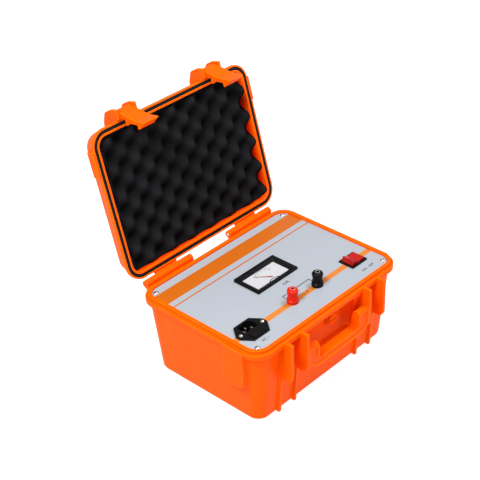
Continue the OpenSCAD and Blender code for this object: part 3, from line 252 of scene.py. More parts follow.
def shell_plastic(name, colour, highlight_colour):
    """Glossy moulded plastic: rounded edges with a painted highlight along them, a fine skin and slight
    colour drift.
    """
    edge_radius, highlight_share = 0.0012, 0.85
    drift_scale, drift_share, drift_range = 22, 0.93, (0.35, 0.65)
    gloss_scale, gloss_range = 160, (0.27, 0.38)
    skin_scale, skin_depth = 2600, 0.00003
    material = plain(name, colour, roughness=0.3, specular=0.03)
    graph = Graph(material)
    rounded, edge = graph.soft_edges(edge_radius)
    darker = tuple(c * drift_share for c in colour)
    body = graph.mix(graph.spread(graph.noise(drift_scale, detail=2), *drift_range), darker, colour)
    # Painted highlight: a lighter orange mixed in along the edges
    graph.colour(graph.mix(graph.math("MULTIPLY", edge, highlight_share), body, highlight_colour))
    graph.rough(graph.noise(gloss_scale, detail=2), *gloss_range)
    graph.bump(graph.noise(skin_scale, detail=1), skin_depth, under=rounded)
    return material


def open_axes(graph):
    """The closed lid's Y and Z, as coordinates on the open lid."""
    angle = math.radians(OPEN_ANGLE)
    cosine, sine = math.cos(angle), math.sin(angle)
    x, y, z = graph.axes()
    dy = graph.math("SUBTRACT", y, HINGE_Y * MM)
    dz = graph.math("SUBTRACT", z, HINGE_Z * MM)
    across = graph.math("SUBTRACT", graph.math("MULTIPLY", dy, cosine), graph.math("MULTIPLY", dz, sine))
    deep = graph.math("ADD", graph.math("MULTIPLY", dy, sine), graph.math("MULTIPLY", dz, cosine))
    return graph.math("ADD", across, HINGE_Y * MM), graph.math("ADD", deep, HINGE_Z * MM)


def strip(graph, coordinate, low, high):
    """1 between two places along a coordinate, in millimetres, and 0 elsewhere."""
    above = graph.math("GREATER_THAN", coordinate, low * MM)
    below = graph.math("LESS_THAN", coordinate, high * MM)
    return graph.math("MULTIPLY", above, below)


# Inside of the lid, where shade is painted, in millimetres: half its length and width, their sum at a corner,
# depths from the rim where the painted shade starts, is full and ends
POCKET_X, POCKET_Y, POCKET_CORNER = 133.2, 96.2, 221.0
SHADE_START, SHADE_FULL, SHADE_END = 0.5, 9, 20


def lid_plastic(name, colour, highlight_colour, painted_shade_colour):
    """The shell's plastic, with painted shade inside the lid: a darker, deeper orange in the lid's hollow."""
    material = shell_plastic(name, colour, highlight_colour)
    graph = Graph(material)
    x = graph.axes()["X"]
    across, deep = open_axes(graph)
    # Painted shade: 1 in the lid's hollow, fading out towards the rim
    inside = graph.spread(deep, (RIM_Z + SHADE_START) * MM, (RIM_Z + SHADE_FULL) * MM)
    inside = graph.math("MULTIPLY", inside, strip(graph, deep, RIM_Z, RIM_Z + SHADE_END))
    for coordinate, half in ((x, POCKET_X), (across, POCKET_Y)):
        inside = graph.math("MULTIPLY", inside, strip(graph, coordinate, -half, half))
    reach = graph.math("ADD", graph.math("ABSOLUTE", x), graph.math("ABSOLUTE", across))
    inside = graph.math("MULTIPLY", inside, graph.math("LESS_THAN", reach, POCKET_CORNER * MM))
    under = graph.shader.inputs["Base Color"].links[0].from_socket
    graph.colour(graph.mix(inside, under, painted_shade_colour))
    return material


def grained_plastic(name, colour, roughness=0.42, specular=0.3, grain=1500, depth=0.00004):
    """Black or coloured fittings with a spark-eroded grain and a painted highlight along their edges."""
    edge_radius, highlight_share, highlight_gain, highlight_lift = 0.0005, 0.5, 1.6, 0.003
    gloss_scale, glossier, duller = 300, 0.06, 0.08
    material = plain(name, colour, roughness=roughness, specular=specular)
    graph = Graph(material)
    rounded, edge = graph.soft_edges(edge_radius)
    # Painted highlight: a lighter copy of the colour, mixed in along the edges
    edge_highlight = tuple(min(1.0, c * highlight_gain + highlight_lift) for c in colour)
    graph.colour(graph.mix(graph.math("MULTIPLY", edge, highlight_share), colour, edge_highlight))
    graph.rough(graph.noise(gloss_scale, detail=2), roughness - glossier, roughness + duller)
    graph.bump(graph.noise(grain, detail=2), depth, under=rounded)
    return material


def metal(name, colour, roughness=0.25, streak=(1, 1, 1)):
    """Plated metal with fine turning or drawing marks."""
    mark_scale, mark_depth, glossier, duller = 600, 0.00002, 0.07, 0.12
    material = plain(name, colour, roughness=roughness, metallic=1.0)
    graph = Graph(material)
    stretch = graph.add("ShaderNodeVectorMath", operation="MULTIPLY")
    graph.link(graph.place, stretch.inputs[0])
    stretch.inputs[1].default_value = streak
    graph.place = stretch.outputs["Vector"]
    marks = graph.noise(mark_scale, detail=2)
    graph.rough(marks, roughness - glossier, roughness + duller)
    graph.bump(marks, mark_depth)
    return material


# Printed bands of the face plate: lowest and highest Y in millimetres, and the ink
FILM = (0.30, 0.325, 0.36)
BAND_INK = (0.42, 0.095, 0.004)
STRIPE_INK = (0.5, 0.15, 0.02)
BANDS = ((60.4, 85.6, BAND_INK), (48.9, 51.2, BAND_INK), (-63.8, -55.1, STRIPE_INK))
# The thin bracket from post to post: X of its legs, Y of their feet and of its line, and its width
BRACKET_X = (-25.0, 28.0)
BRACKET_Y = (-50.5, -42.0)
BRACKET_LINE = 1.25
BRACKET_INK = (0.004, 0.004, 0.005)


def printed_film():
    """The face plate: pale blue-grey film with printed bands and a bracket between the posts."""
    drift_scale, drift_share = 9, 0.965
    gloss_scale, gloss_range = 500, (0.32, 0.42)
    grain_scale, grain_depth = 1400, 0.000015
    material = plain("face_film", FILM, roughness=0.36, specular=0.3)
    graph = Graph(material)
    x, y, z = graph.axes()
    drift = graph.spread(graph.noise(drift_scale, detail=2), NOISE_LOW, NOISE_HIGH)
    colour = graph.mix(drift, tuple(c * drift_share for c in FILM), FILM)
    for low, high, ink in BANDS:
        colour = graph.mix(strip(graph, y, low, high), colour, ink)
    half = BRACKET_LINE / 2
    (left, right), (feet, line) = BRACKET_X, BRACKET_Y
    strokes = [((left - half, right + half), (line - half, line + half))]
    strokes += [((leg - half, leg + half), (feet, line)) for leg in BRACKET_X]
    for along, up in strokes:
        stroke = graph.math("MULTIPLY", strip(graph, x, *along), strip(graph, y, *up))
        colour = graph.mix(stroke, colour, BRACKET_INK)
    graph.colour(colour)
    graph.rough(graph.noise(gloss_scale, detail=2), *gloss_range)
    graph.bump(graph.cells(grain_scale), grain_depth)
    return material


def foam_material():
    """Open-cell foam: near black, with a pore to every half millimetre, paler towards the crests as painted
    light and darker in the hollows as painted shade.
    """
    pore_scale, pore_range, pore_share = 1900, (0.1, 0.6), 0.7
    clump_scale, clump_share, depth = 260, 0.6, 0.0006
    pore_black, painted_hollow_shade = (0.001, 0.001, 0.0012), (0.0016, 0.0016, 0.0019)
    painted_crest_light = (0.0125, 0.0125, 0.0145)
    material = plain("foam_cells", (0.006, 0.006, 0.0065), roughness=0.95, specular=0.08)
    graph = Graph(material)
    pores = graph.cells(pore_scale)
    clumps = graph.noise(clump_scale, detail=4, rough=0.6)
    deep = open_axes(graph)[1]
    # Painted light and shade: paler on the crests, darker in the hollows, by the depth of the foam's face
    crest_light_share = graph.spread(deep, (RIM_Z + FOAM_CREST + FOAM_RELIEF) * MM, (RIM_Z + FOAM_CREST) * MM)
    shade = graph.mix(crest_light_share, painted_hollow_shade, painted_crest_light)
    graph.colour(graph.mix(graph.spread(pores, *pore_range), pore_black, shade))
    height = graph.math(
        "ADD", graph.math("MULTIPLY", pores, pore_share), graph.math("MULTIPLY", clumps, clump_share))
    graph.bump(height, depth, strength=0.8)
    return material


# Meshes

def piece(name, mesh, material, body, smooth=True):
    obj = bpy.data.objects.new(name, mesh)
    bpy.context.scene.collection.objects.link(obj)
    obj.data.materials.append(material)
    for polygon in mesh.polygons:
        polygon.use_smooth = smooth
    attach(obj, body)
    return obj


def shade_by_angle(obj, angle=35):
    """Smooth faces, with edges sharper than the angle kept sharp."""
    mesh = obj.data
    for polygon in mesh.polygons:
        polygon.use_smooth = True
    mesh.set_sharp_from_angle(angle=math.radians(angle))


def to_mesh(bm, name):
    mesh = bpy.data.meshes.new(name)
    bm.to_mesh(mesh)
    bm.free()
    return mesh


def finished(bm, name):
    """The mesh, with every face turned outwards."""
    bmesh.ops.recalc_face_normals(bm, faces=bm.faces)
    return to_mesh(bm, name)


def on_circle(centre, radius, degrees):
    angle = math.radians(degrees)
    return centre[0] + radius * math.cos(angle), centre[1] + radius * math.sin(angle)


def arc_points(centre, radius, start, end, steps):
    return [on_circle(centre, radius, start + (end - start) * k / steps) for k in range(steps + 1)]


def join_loops(bm, loops, cyclic):
    """Faces between each loop of points and the next, and from the last to the first if cyclic."""
    pairs = list(zip(loops, loops[1:])) + ([(loops[-1], loops[0])] if cyclic else [])
    for low, high in pairs:
        for k in range(len(low)):
            n = (k + 1) % len(low)
            bm.faces.new((low[k], low[n], high[n], high[k]))


def prism(bm, low, high):
    """A solid between two like loops."""
    join_loops(bm, (low, high), cyclic=False)
    bm.faces.new(low)
    bm.faces.new(high)


def circle_points(centre, radius, height, segments):
    turn = math.tau / segments
    return [Vector((
        centre[0] + radius * math.cos(turn * k), centre[1] + radius * math.sin(turn * k), centre[2] + height))
        for k in range(segments)]


def lathe(bm, profile, centre, segments=40):
    """A turned solid from (radius, height) points in metres; the first and last lie on the axis."""
    rings = []
    for radius, height in profile:
        points = circle_points(centre, radius, height, segments if radius else 1)
        rings.append([bm.verts.new(point) for point in points])
    for low, high in zip(rings, rings[1:]):
        for k in range(segments):
            n = (k + 1) % segments
            corners = [low[k % len(low)], low[n % len(low)], high[n % len(high)], high[k % len(high)]]
            bm.faces.new(list(dict.fromkeys(corners)))
    bmesh.ops.recalc_face_normals(bm, faces=bm.faces)


def turned_ring(name, profile, centre, segments=48):
    """A ring turned from a closed loop of (radius, height) points in millimetres."""
    bm = bmesh.new()
    loops = [[bm.verts.new(point * MM) for point in circle_points(centre, radius, height, segments)]
             for radius, height in profile]
    join_loops(bm, loops, cyclic=True)
    return finished(bm, name)


# Egg-crate foam: rounded crests and hollows on a fine grid, in millimetres as if the lid were closed

CAVITY_L, CAVITY_W, CAVITY_R = 266.1, 192.1, 14.55
# How far the cavity's walls lean in, and over which height
CAVITY_LEAN, CAVITY_BEND = 4.0, 23.5
LID_H, LID_WALL, FIELD_DEEP, BACK_GAP = 32.0, 3.0, 1.2, 0.4
FOAM_GAP = 0.3
FOAM_PITCH = 38.2
FOAM_RELIEF = 14.5
FOAM_CREST = 0.8
FOAM_PHASE = (18.4, 10.4)
FOAM_BACK = RIM_Z + LID_H - LID_WALL - FIELD_DEEP - BACK_GAP
FOAM_BACK_IN = 11.0
FOAM_NX, FOAM_NY = 144, 106
# Share by which the rows are closer together at the rounded corners
FOAM_CROWD = 0.25
SAME_POINT = 1e-6


def opened(x, y, z):
    """A point given for the closed lid, in its place on the open lid; millimetres in, metres out."""
    angle = math.radians(OPEN_ANGLE)
    dy, dz = y - HINGE_Y, z - HINGE_Z
    return Vector((
        x, HINGE_Y + dy * math.cos(angle) + dz * math.sin(angle),
        HINGE_Z - dy * math.sin(angle) + dz * math.cos(angle))) * MM


def foam_height(x, y):
    """Height of the foam's face: low at the crests, which point down, and high in the hollows."""
    along = math.tau * (x - FOAM_PHASE[0]) / FOAM_PITCH
    up = math.tau * (y - FOAM_PHASE[1]) / FOAM_PITCH
    return RIM_Z + FOAM_CREST + FOAM_RELIEF / 2 * (1 - math.cos(along) * math.cos(up))


def foam_half(y):
    """Half the foam's length at a Y, shorter at its rounded corners."""
    radius = CAVITY_R - FOAM_GAP
    past = max(0.0, abs(y) - CAVITY_W / 2 + FOAM_GAP + radius)
    return CAVITY_L / 2 - FOAM_GAP - radius + math.sqrt(max(0.0, radius * radius - past * past))


def foam_point(u, v):
    """A point of the foam's face, for shares of its half length and half width."""
    y = v * (CAVITY_W / 2 - FOAM_GAP)
    x = u * foam_half(y)
    z = foam_height(x, y)
    inset = CAVITY_LEAN * (z - RIM_Z + 1) / (CAVITY_BEND + 1)
    return x * (1 - inset / CAVITY_L), y * (1 - inset / CAVITY_W), z


def foam_shares(count, crowd=0.0):
    """Shares from -1 to 1, closer together at both ends by the share crowd."""
    even = [2 * k / count - 1 for k in range(count + 1)]
    return [math.sin(math.pi / 2 * share) * crowd + share * (1 - crowd) for share in even]


def foam_mesh():
    bm = bmesh.new()
    us, vs = foam_shares(FOAM_NX), foam_shares(FOAM_NY, FOAM_CROWD)
    points = [[foam_point(u, v) for u in us] for v in vs]
    rows = [[bm.verts.new(opened(*point)) for point in row] for row in points]
    for low, high in zip(rows, rows[1:]):
        for i in range(FOAM_NX):
            bm.faces.new((low[i], high[i], high[i + 1], low[i + 1]))
    edge, edge_points = outline(rows), outline(points)
    in_x, in_y = 1 - FOAM_BACK_IN / (CAVITY_L / 2), 1 - FOAM_BACK_IN / (CAVITY_W / 2)
    back = [bm.verts.new(opened(x * in_x, y * in_y, FOAM_BACK)) for x, y, z in edge_points]
    join_loops(bm, (edge, back), cyclic=False)
    bm.faces.new(back)
    bmesh.ops.remove_doubles(bm, verts=bm.verts, dist=SAME_POINT)
    return finished(bm, "egg_crate_foam")


def outline(rows):
    """The outer items of a grid, once round."""
    return rows[0][:-1] + [row[-1] for row in rows[:-1]] + rows[-1][:0:-1] + [row[0] for row in rows[:0:-1]]


def make_foam():
    foam = piece("foam_pad", foam_mesh(), foam_material(), "lid")
    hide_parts("lid_foam")
    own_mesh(foam)


# Screws of the face plate: a domed head with a cross recess, on a plain shank

SCREW_X, SCREW_Y = 126.5, 90.0
HEAD_R, HEAD_H = 3.7, 2
# Share of the head's height that its straight edge takes
HEAD_EDGE = 0.3
SHANK_R, SHANK_L = 1.75, 14
RECESS_REACH, RECESS_W = 2.1, 0.95
RECESS_TOP, RECESS_DEEP = 2.3, 1.5
# Share of the recess's width that is left at its floor
RECESS_TAPER = 0.45
# Side along X, side along Y, and turn of the cross in radians
SCREWS = ((-1, -1, 0.4), (1, -1, 1.0), (-1, 1, 0.15), (1, 1, 0.75))


def screw_mesh(name, centre):
    bm = bmesh.new()
    steps = 8
    turns = [math.pi / 2 * k / steps for k in range(steps)]
    dome = [(HEAD_R * math.cos(a), HEAD_H * (HEAD_EDGE + (1 - HEAD_EDGE) * math.sin(a))) for a in turns]
    shank = [(0, -SHANK_L), (SHANK_R / 2, -SHANK_L), (SHANK_R, -SHANK_L + SHANK_R), (SHANK_R, 0), (HEAD_R, 0)]
    lathe(bm, [(radius * MM, height * MM) for radius, height in (*shank, *dome, (0, HEAD_H))], centre)
    return to_mesh(bm, name)


def cross_cutter(centre, turn):
    bm = bmesh.new()
    for angle in (turn, turn + math.pi / 2):
        spin = Matrix.Translation(centre) @ Matrix.Rotation(angle, 4, "Z")
        for vert in bmesh.ops.create_cube(bm, size=1)["verts"]:
            x, y, z = vert.co
            taper = 1.0 if z > 0 else RECESS_TAPER
            long, wide = x * 2 * RECESS_REACH * taper, y * RECESS_W * taper
            vert.co = spin @ (Vector((long, wide, RECESS_TOP + (z - 0.5) * RECESS_DEEP)) * MM)
    cutter = bpy.data.objects.new("cutter", to_mesh(bm, "cutter"))
    bpy.context.scene.collection.objects.link(cutter)
    return cutter


def cut(obj, cutter):
    """Subtract the cutter from obj for good, and remove it."""
    modifier = obj.modifiers.new("recess", "BOOLEAN")
    modifier.object = cutter
    modifier.solver = "EXACT"
    modifier.use_self = True
    depsgraph = bpy.context.evaluated_depsgraph_get()
    done = bpy.data.meshes.new_from_object(obj.evaluated_get(depsgraph))
    obj.modifiers.clear()
    obj.data = done
    bpy.data.objects.remove(cutter, do_unlink=True)


def make_panel_screws(material):
    first = None
    for k, (side_x, side_y, turn) in enumerate(SCREWS):
        centre = Vector((side_x * SCREW_X, side_y * SCREW_Y, PANEL_Z)) * MM
        name = f"panel_screw_{k}"
        screw = piece(name, screw_mesh(name, centre), material, "base")
        cut(screw, cross_cutter(centre, turn))
        shade_by_angle(screw)
        first = first or screw
    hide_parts("panel_screws")


# Print on the dial and the panel, raised by a hair so that it shows from every side

PRINT_T = 0.12


def ribbon(bm, points, width, z):
    """A thin flat line through points in the plane, in millimetres, with a top PRINT_T above z."""
    last = len(points) - 1
    left, right = [], []
    for k, (x, y) in enumerate(points):
        ax, ay = points[max(0, k - 1)]
        bx, by = points[min(last, k + 1)]
        length = math.hypot(bx - ax, by - ay)
        nx, ny = -(by - ay) / length * width / 2, (bx - ax) / length * width / 2
        left.append((x + nx, y + ny))
        right.append((x - nx, y - ny))
    low, high = ([bm.verts.new(Vector((x, y, level)) * MM) for x, y in left + right[::-1]]
                 for level in (z, z + PRINT_T))
    join_loops(bm, (low, high), cyclic=False)
    end = len(low) - 1
    for k in range(last):
        a, b, c, d = k, k + 1, end - 1 - k, end - k
        bm.faces.new((high[a], high[b], high[c], high[d]))
        bm.faces.new((low[d], low[c], low[b], low[a]))


def text_mesh(name, words, size, centre, z):
    """Words as a thin solid, centred at a place on a level surface."""
    curve = bpy.data.curves.new(name, "FONT")
    curve.body = words
    curve.size = size * MM
    curve.extrude = PRINT_T / 2 * MM
    curve.resolution_u = 3
    curve.align_x = "CENTER"
    curve.align_y = "CENTER"
    helper = bpy.data.objects.new(name, curve)
    bpy.context.scene.collection.objects.link(helper)
    depsgraph = bpy.context.evaluated_depsgraph_get()
    depsgraph.update()
    mesh = bpy.data.meshes.new_from_object(helper.evaluated_get(depsgraph))
    bpy.data.objects.remove(helper, do_unlink=True)
    mesh.transform(Matrix.Translation(Vector((*centre, z + PRINT_T / 2)) * MM))
    mesh.materials.clear()
    return mesh


def printed(name, mesh, ink):
    return piece(name, mesh, ink, "base", smooth=False)


# Scale: radius, first and last angle, number of marks, one long mark in so many, and the numbers
SCALE_R = 20.5
SCALE_START, SCALE_END = 135.0, 45.0
SCALE_MARKS, LONG_EVERY = 20, 5
ARC_LINE, ARC_STEPS = 0.28, 40
MARK_GAP = 0.05
LONG_MARK, SHORT_MARK = 2.2, 1.2
LONG_LINE, SHORT_LINE = 0.3, 0.2
NUMBERS = ("0", "5", "10", "15", "20")
NUMBER_IN, NUMBER_SIZE = 2.6, 2.8
# Words of the panel: name, words, size and centre
PANEL_WORDS = (
    ("unit_mark", "mA", 8.0, (METER_X + 4, -24.0)),
    ("output_mark", "OUT", 6.4, (1.5, -59.4)),
    ("inlet_mark", "AC ~", 6.2, (INLET_X - 1, -84.5)),
    ("switch_mark", "ON   OFF", 5.8, (SWITCH_X + 1, -84.5)))


def make_dial_print(ink):
    """Scale of the meter: an arc, long and short marks and numbers."""
    bm = bmesh.new()
    pivot = (METER_X, PIVOT_Y)
    span = SCALE_END - SCALE_START
    ribbon(bm, arc_points(pivot, SCALE_R, SCALE_START, SCALE_END, ARC_STEPS), ARC_LINE, DIAL_Z)
    for k in range(SCALE_MARKS + 1):
        length, line = (SHORT_MARK, SHORT_LINE) if k % LONG_EVERY else (LONG_MARK, LONG_LINE)
        degrees = SCALE_START + span * k / SCALE_MARKS
        mark = [on_circle(pivot, SCALE_R + reach, degrees) for reach in (MARK_GAP, length)]
        ribbon(bm, mark, line, DIAL_Z)
    printed("dial_marks", to_mesh(bm, "dial_marks"), ink)
    for k, words in enumerate(NUMBERS):
        place = on_circle(pivot, SCALE_R - NUMBER_IN, SCALE_START + span * k / (len(NUMBERS) - 1))
        name = f"dial_number_{words}"
        printed(name, text_mesh(name, words, NUMBER_SIZE, place, DIAL_Z), ink)


def make_panel_words(ink):
    for name, words, size, centre in PANEL_WORDS:
        printed(name, text_mesh(name, words, size, centre, PANEL_Z), ink)


# Panel meter: a flat bezel with a deep window, a white dial, a cover over the movement and a clear pane

BEZEL_W, BEZEL_L, BEZEL_R, BEZEL_H = 77.8, 45.2, 0.5, 4.0
BEZEL_AT = (-2.4, 7.2)
WINDOW_W, WINDOW_L, WINDOW_R = 69.0, 37.0, 0.8
WINDOW_AT = (-3.1, 6.6)
# How far the window's walls slope in, and their height above the panel at the foot
SLOPE_IN, SLOPE_FOOT = 4.4, 0.7
# Step in from an outline and drop from the top: the bezel's outer edge, then the window's
OUTER_EDGE = ((0, BEZEL_H), (0, 0.5), (0.15, 0.15), (0.5, 0))
INNER_EDGE = ((-0.3, 0), (0, 0.3), (SLOPE_IN, BEZEL_H - SLOPE_FOOT), (SLOPE_IN, BEZEL_H))
FACE_W, FACE_L = WINDOW_W - 2 * SLOPE_IN, WINDOW_L - 2 * SLOPE_IN
FACE_LAP, FACE_GAP = 0.4, 0.1
PANE_IN, PANE_LOW, PANE_TOP = 1.2, 2.9, 3.5
CAN_R, CAN_DEEP = 20.4, 24.0
# Radius and height of the can, which has a shallow step below its collar and a chamfered foot
CAN = ((0, 0), (CAN_R, 0), (CAN_R, -7), (CAN_R - 0.5, -7.5), (CAN_R - 0.5, 2 - CAN_DEEP),
       (CAN_R - 2.5, -CAN_DEEP), (0, -CAN_DEEP))
# Cover over the movement: centre and radius of its curved edge, its front and its two levels
COVER_AT, COVER_R = (-2.8, -22.8), 17.4
COVER_FRONT = WINDOW_AT[1] - FACE_L / 2 - 0.9
COVER_LOW, COVER_Z = DIAL_Z + 0.02, PANEL_Z + 1.5
COVER_LINE, COVER_LINE_IN, COVER_STEPS = 1.2, 0.5, 36
# Pointer: half widths of tail, hub and tip, its levels above the dial and the hub's size
TAIL, TAIL_HALF, WAIST_HALF, TIP_HALF = 3.2, 0.7, 0.5, 0.14
POINTER_LOW, POINTER_TOP = DIAL_Z + 1.0, DIAL_Z + 1.35
HUB_R, HUB_TOP_R, HUB_PROUD = 1.0, 0.7, 0.2
# Share of the CAD needle's reach that the pointer has
POINTER_SHARE = 0.99


def rounded_loop(bm, width, length, radius, z, centre=WINDOW_AT, steps=5):
    """The points of a rounded rectangle, as vertices."""
    loop = []
    for side_x, side_y, start in ((1, 1, 0), (-1, 1, 90), (-1, -1, 180), (1, -1, 270)):
        corner = (centre[0] + side_x * (width / 2 - radius), centre[1] + side_y * (length / 2 - radius))
        for x, y in arc_points(corner, radius, start, start + 90, steps):
            loop.append(bm.verts.new(Vector((x, y, z)) * MM))
    return loop


def make_bezel(material):
    bm = bmesh.new()
    top = PANEL_Z + BEZEL_H
    loops = [rounded_loop(bm, BEZEL_W - 2 * step, BEZEL_L - 2 * step, BEZEL_R, top - drop, BEZEL_AT)
             for step, drop in OUTER_EDGE]
    loops += [rounded_loop(bm, WINDOW_W - 2 * step, WINDOW_L - 2 * step, WINDOW_R, top - drop)
              for step, drop in INNER_EDGE]
    join_loops(bm, loops, cyclic=True)
    under = Vector((METER_X, METER_Y, PANEL_Z)) * MM
    lathe(bm, [(radius * MM, height * MM) for radius, height in CAN], under, segments=64)
    bezel = piece("meter_bezel", finished(bm, "meter_bezel"), material, "base")
    shade_by_angle(bezel, angle=30)
    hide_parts("meter_housing")


def rounded_slab(name, size, levels, material, node):
    bm = bmesh.new()
    prism(bm, *(rounded_loop(bm, *size, WINDOW_R, z) for z in levels))
    slab = piece(name, finished(bm, name), material, "base", smooth=False)
    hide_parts(node)


def make_dial_and_pane(card, clear):
    rounded_slab("dial_face", (FACE_W + FACE_LAP, FACE_L + FACE_LAP), (PANEL_Z + FACE_GAP, DIAL_Z),
                 card, "meter_dial")
    rounded_slab("window_pane", (WINDOW_W - PANE_IN, WINDOW_L - PANE_IN),
                 (PANEL_Z + PANE_LOW, PANEL_Z + PANE_TOP), clear, "meter_glass")


def make_movement_cover(card, ink):
    """A plate over the movement with a curved back edge, and the dark line moulded along that edge."""
    reach = math.degrees(math.acos((COVER_FRONT - COVER_AT[1]) / COVER_R))
    edge, line = (arc_points(COVER_AT, radius, 90 - reach, 90 + reach, COVER_STEPS)
                  for radius in (COVER_R, COVER_R - COVER_LINE_IN))
    bm = bmesh.new()
    prism(bm, *([bm.verts.new(Vector((x, y, z)) * MM) for x, y in edge] for z in (COVER_LOW, COVER_Z)))
    plate = piece("movement_cover", finished(bm, "movement_cover"), card, "base", smooth=False)
    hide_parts("meter_shield")
    bm = bmesh.new()
    ribbon(bm, line, COVER_LINE, COVER_Z)
    printed("cover_line", finished(bm, "cover_line"), ink)


def make_pointer(paint):
    """A thin tapered pointer with a round hub and a short tail, in the CAD needle's direction."""
    low, high = (Vector(v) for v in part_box("meter_needle"))
    hub = Vector((METER_X, PIVOT_Y, 0)) * MM
    points_left = hub.x - low.x > high.x - hub.x
    tip = Vector((low.x if points_left else high.x, high.y, 0))
    along = (tip - hub).normalized()
    across = Vector((-along.y, along.x, 0))
    reach = (tip - hub).length * POINTER_SHARE / MM
    half = ((-TAIL, TAIL_HALF), (0, WAIST_HALF), (reach, TIP_HALF))
    sides = half + tuple((a, -b) for a, b in half[::-1])
    bm = bmesh.new()
    prism(bm, *([bm.verts.new(hub + (along * a + across * b + Vector((0, 0, z))) * MM) for a, b in sides]
                for z in (POINTER_LOW, POINTER_TOP)))
    low_z, top_z = POINTER_LOW - HUB_PROUD, POINTER_TOP + HUB_PROUD
    profile = ((0, low_z), (HUB_R, low_z), (HUB_R, POINTER_TOP), (HUB_TOP_R, top_z), (0, top_z))
    lathe(bm, [(radius * MM, z * MM) for radius, z in profile], hub, segments=24)
    needle = piece("pointer", finished(bm, "pointer"), paint, "needle", smooth=False)
    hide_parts("meter_needle")


# Binding posts: a broad disc under each cap, the cap, and a bright ring round its socket

POST_Z = PANEL_Z + 5.5
DISC_R, DISC_H, DISC_BORE, DISC_EDGE = 7.7, 1.0, 2.4, 0.3
# All profiles are (radius, height) in millimetres, once round the section
DISC_PROFILE = (
    (DISC_BORE, 0), (DISC_R - DISC_EDGE, 0), (DISC_R, DISC_EDGE), (DISC_R, DISC_H - DISC_EDGE),
    (DISC_R - DISC_EDGE, DISC_H), (DISC_BORE, DISC_H))
CAP_TOP = 15.0
# From the cap's foot up: a slight waist, a domed top and the socket's mouth
CAP_PROFILE = (
    (2.3, 0.05), (7.0, 0.05), (7.25, 0.4), (6.95, 2.2), (6.6, 4.4), (6.65, 6.2), (7.1, 8.4), (7.55, 10.4),
    (7.6, 11.6), (7.35, 12.9), (6.6, 14.0), (5.4, 14.7), (4.2, CAP_TOP), (3.2, CAP_TOP), (2.9, 14.7),
    (2.9, 9.0))
RING_PROFILE = ((2.3, -1.2), (2.85, -1.2), (2.85, 0), (3.3, 0.02), (3.2, 0.2), (2.7, 0.25), (2.3, 0.1))


def make_post_trim(colour, x, plastic, ring_metal):
    """Disc, cap and socket ring of one post; the disc and the cap stand for their CAD nodes."""
    name = f"{colour}_disc"
    mesh = turned_ring(name, DISC_PROFILE, (x, -ROW_Y, POST_Z), 48)
    washer = piece(name, mesh, plastic, f"{colour}_washer")
    shade_by_angle(washer)
    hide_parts(f"{colour}_washer")
    foot = POST_Z + DISC_H
    name = f"{colour}_grip"
    grip = piece(name, turned_ring(name, CAP_PROFILE, (x, -ROW_Y, foot), 72), plastic, f"{colour}_cap")
    shade_by_angle(grip)
    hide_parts(f"{colour}_cap")
    name = f"{colour}_socket_ring"
    mesh = turned_ring(name, RING_PROFILE, (x, -ROW_Y, foot + CAP_TOP), 48)
    shade_by_angle(piece(name, mesh, ring_metal, f"{colour}_cap"))


# Materials of the object

# The shell's orange, the painted highlight along its edges, and the painted shade inside the lid
ORANGE, ORANGE_HIGHLIGHT, ORANGE_PAINTED_SHADE = (0.92, 0.088, 0.0004), (1.0, 0.3, 0.003), (0.5, 0.012, 0.001)
BLACK = grained_plastic("black_fitting", (0.0035, 0.0035, 0.004), roughness=0.34, specular=0.1)
RED = grained_plastic(
    "red_fitting", (0.62, 0.014, 0.003), roughness=0.24, specular=0.12, grain=900, depth=0.00002)
ROCKER = grained_plastic(
    "rocker_red", (0.34, 0.006, 0.004), roughness=0.16, specular=0.2, grain=600, depth=0.00001)
RUBBER = grained_plastic("seal_rubber", (0.006, 0.006, 0.006), roughness=0.75, specular=0.1, grain=900)
STEEL = metal("plated_steel", (0.62, 0.61, 0.6), roughness=0.3)
NICKEL = metal("bright_nickel", (0.72, 0.71, 0.69), roughness=0.2, streak=(0.2, 0.2, 4))
DIAL = plain("dial_card", (0.52, 0.53, 0.55), roughness=0.6, specular=0.2)
INK = plain("print_ink", (0.012, 0.012, 0.014), roughness=0.6, specular=0.2)
DIAL_INK = plain("dial_ink", (0.16, 0.16, 0.17), roughness=0.6, specular=0.2)
CLEAR = plain("clear_pane", (0.02, 0.02, 0.02), roughness=0.04, specular=0.3, alpha=0.06)
NEEDLE_PAINT = plain("needle_paint", (0.4, 0.05, 0.04), roughness=0.4)


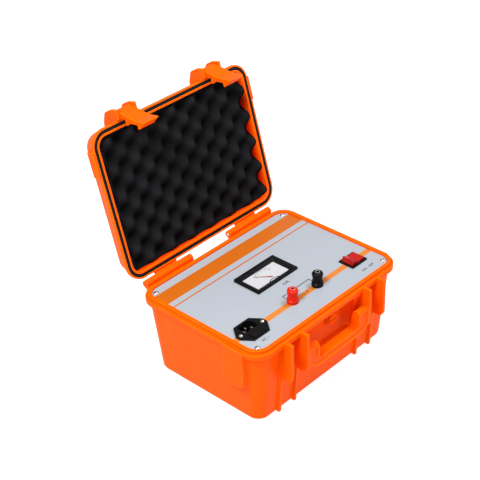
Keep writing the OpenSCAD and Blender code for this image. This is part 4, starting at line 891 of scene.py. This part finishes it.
def dress(material, *nodes):
    """Give a material to CAD nodes that keep their own shape."""
    for node in nodes:
        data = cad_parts[node].data
        data.materials.clear()
        data.materials.append(material)


def dress_outside():
    shell = shell_plastic("orange_shell", ORANGE, ORANGE_HIGHLIGHT)
    dress(shell, "base_shell", "handle", "valve_body", "valve_knob", "latch_left", "latch_right")
    dress(lid_plastic("orange_lid", ORANGE, ORANGE_HIGHLIGHT, ORANGE_PAINTED_SHADE), "lid_shell")
    dress(printed_film(), "face_plate")
    dress(BLACK, "inlet_body", "fuse_drawer", "switch_frame", "black_base")
    dress(RED, "red_base")
    dress(ROCKER, "switch_rocker")
    dress(RUBBER, "lid_seal", "valve_seal")
    dress(STEEL, "hinge_pins", "handle_pins", "latch_pins", "inlet_screws")
    dress(NICKEL, "red_stud", "black_stud", "inlet_pins")


def dress_inside():
    dress(STEEL, "meter_nuts", "board_pillars", "transformer_clamp")
    dress(NICKEL, "red_nuts", "black_nuts", "fuse")
    dress(metal("brass_blade", (0.68, 0.5, 0.22), roughness=0.32), "switch_terminals")
    dress(metal("extruded_alloy", (0.6, 0.6, 0.62), roughness=0.4, streak=(1, 1, 0.1)), "heat_sink")
    dress(grained_plastic("circuit_green", (0.02, 0.1, 0.04), roughness=0.4), "circuit_board")
    dress(grained_plastic("can_sleeve", (0.02, 0.03, 0.12), roughness=0.3), "capacitors")
    dress(grained_plastic("relay_case", (0.04, 0.12, 0.3), roughness=0.35), "power_relay")
    dress(grained_plastic("core_varnish", (0.08, 0.08, 0.09), roughness=0.5, grain=2200),
          "transformer_core", "meter_movement")
    dress(grained_plastic("winding_tape", (0.5, 0.3, 0.04), roughness=0.5), "transformer_winding")


make_camera()
make_light()
make_floor()
dress_outside()
dress_inside()
make_foam()
make_panel_screws(STEEL)
make_bezel(BLACK)
make_dial_and_pane(DIAL, CLEAR)
make_dial_print(DIAL_INK)
make_movement_cover(DIAL, INK)
make_pointer(NEEDLE_PAINT)
make_post_trim("red", -POST_X, RED, NICKEL)
make_post_trim("black", POST_X, BLACK, NICKEL)
make_panel_words(INK)
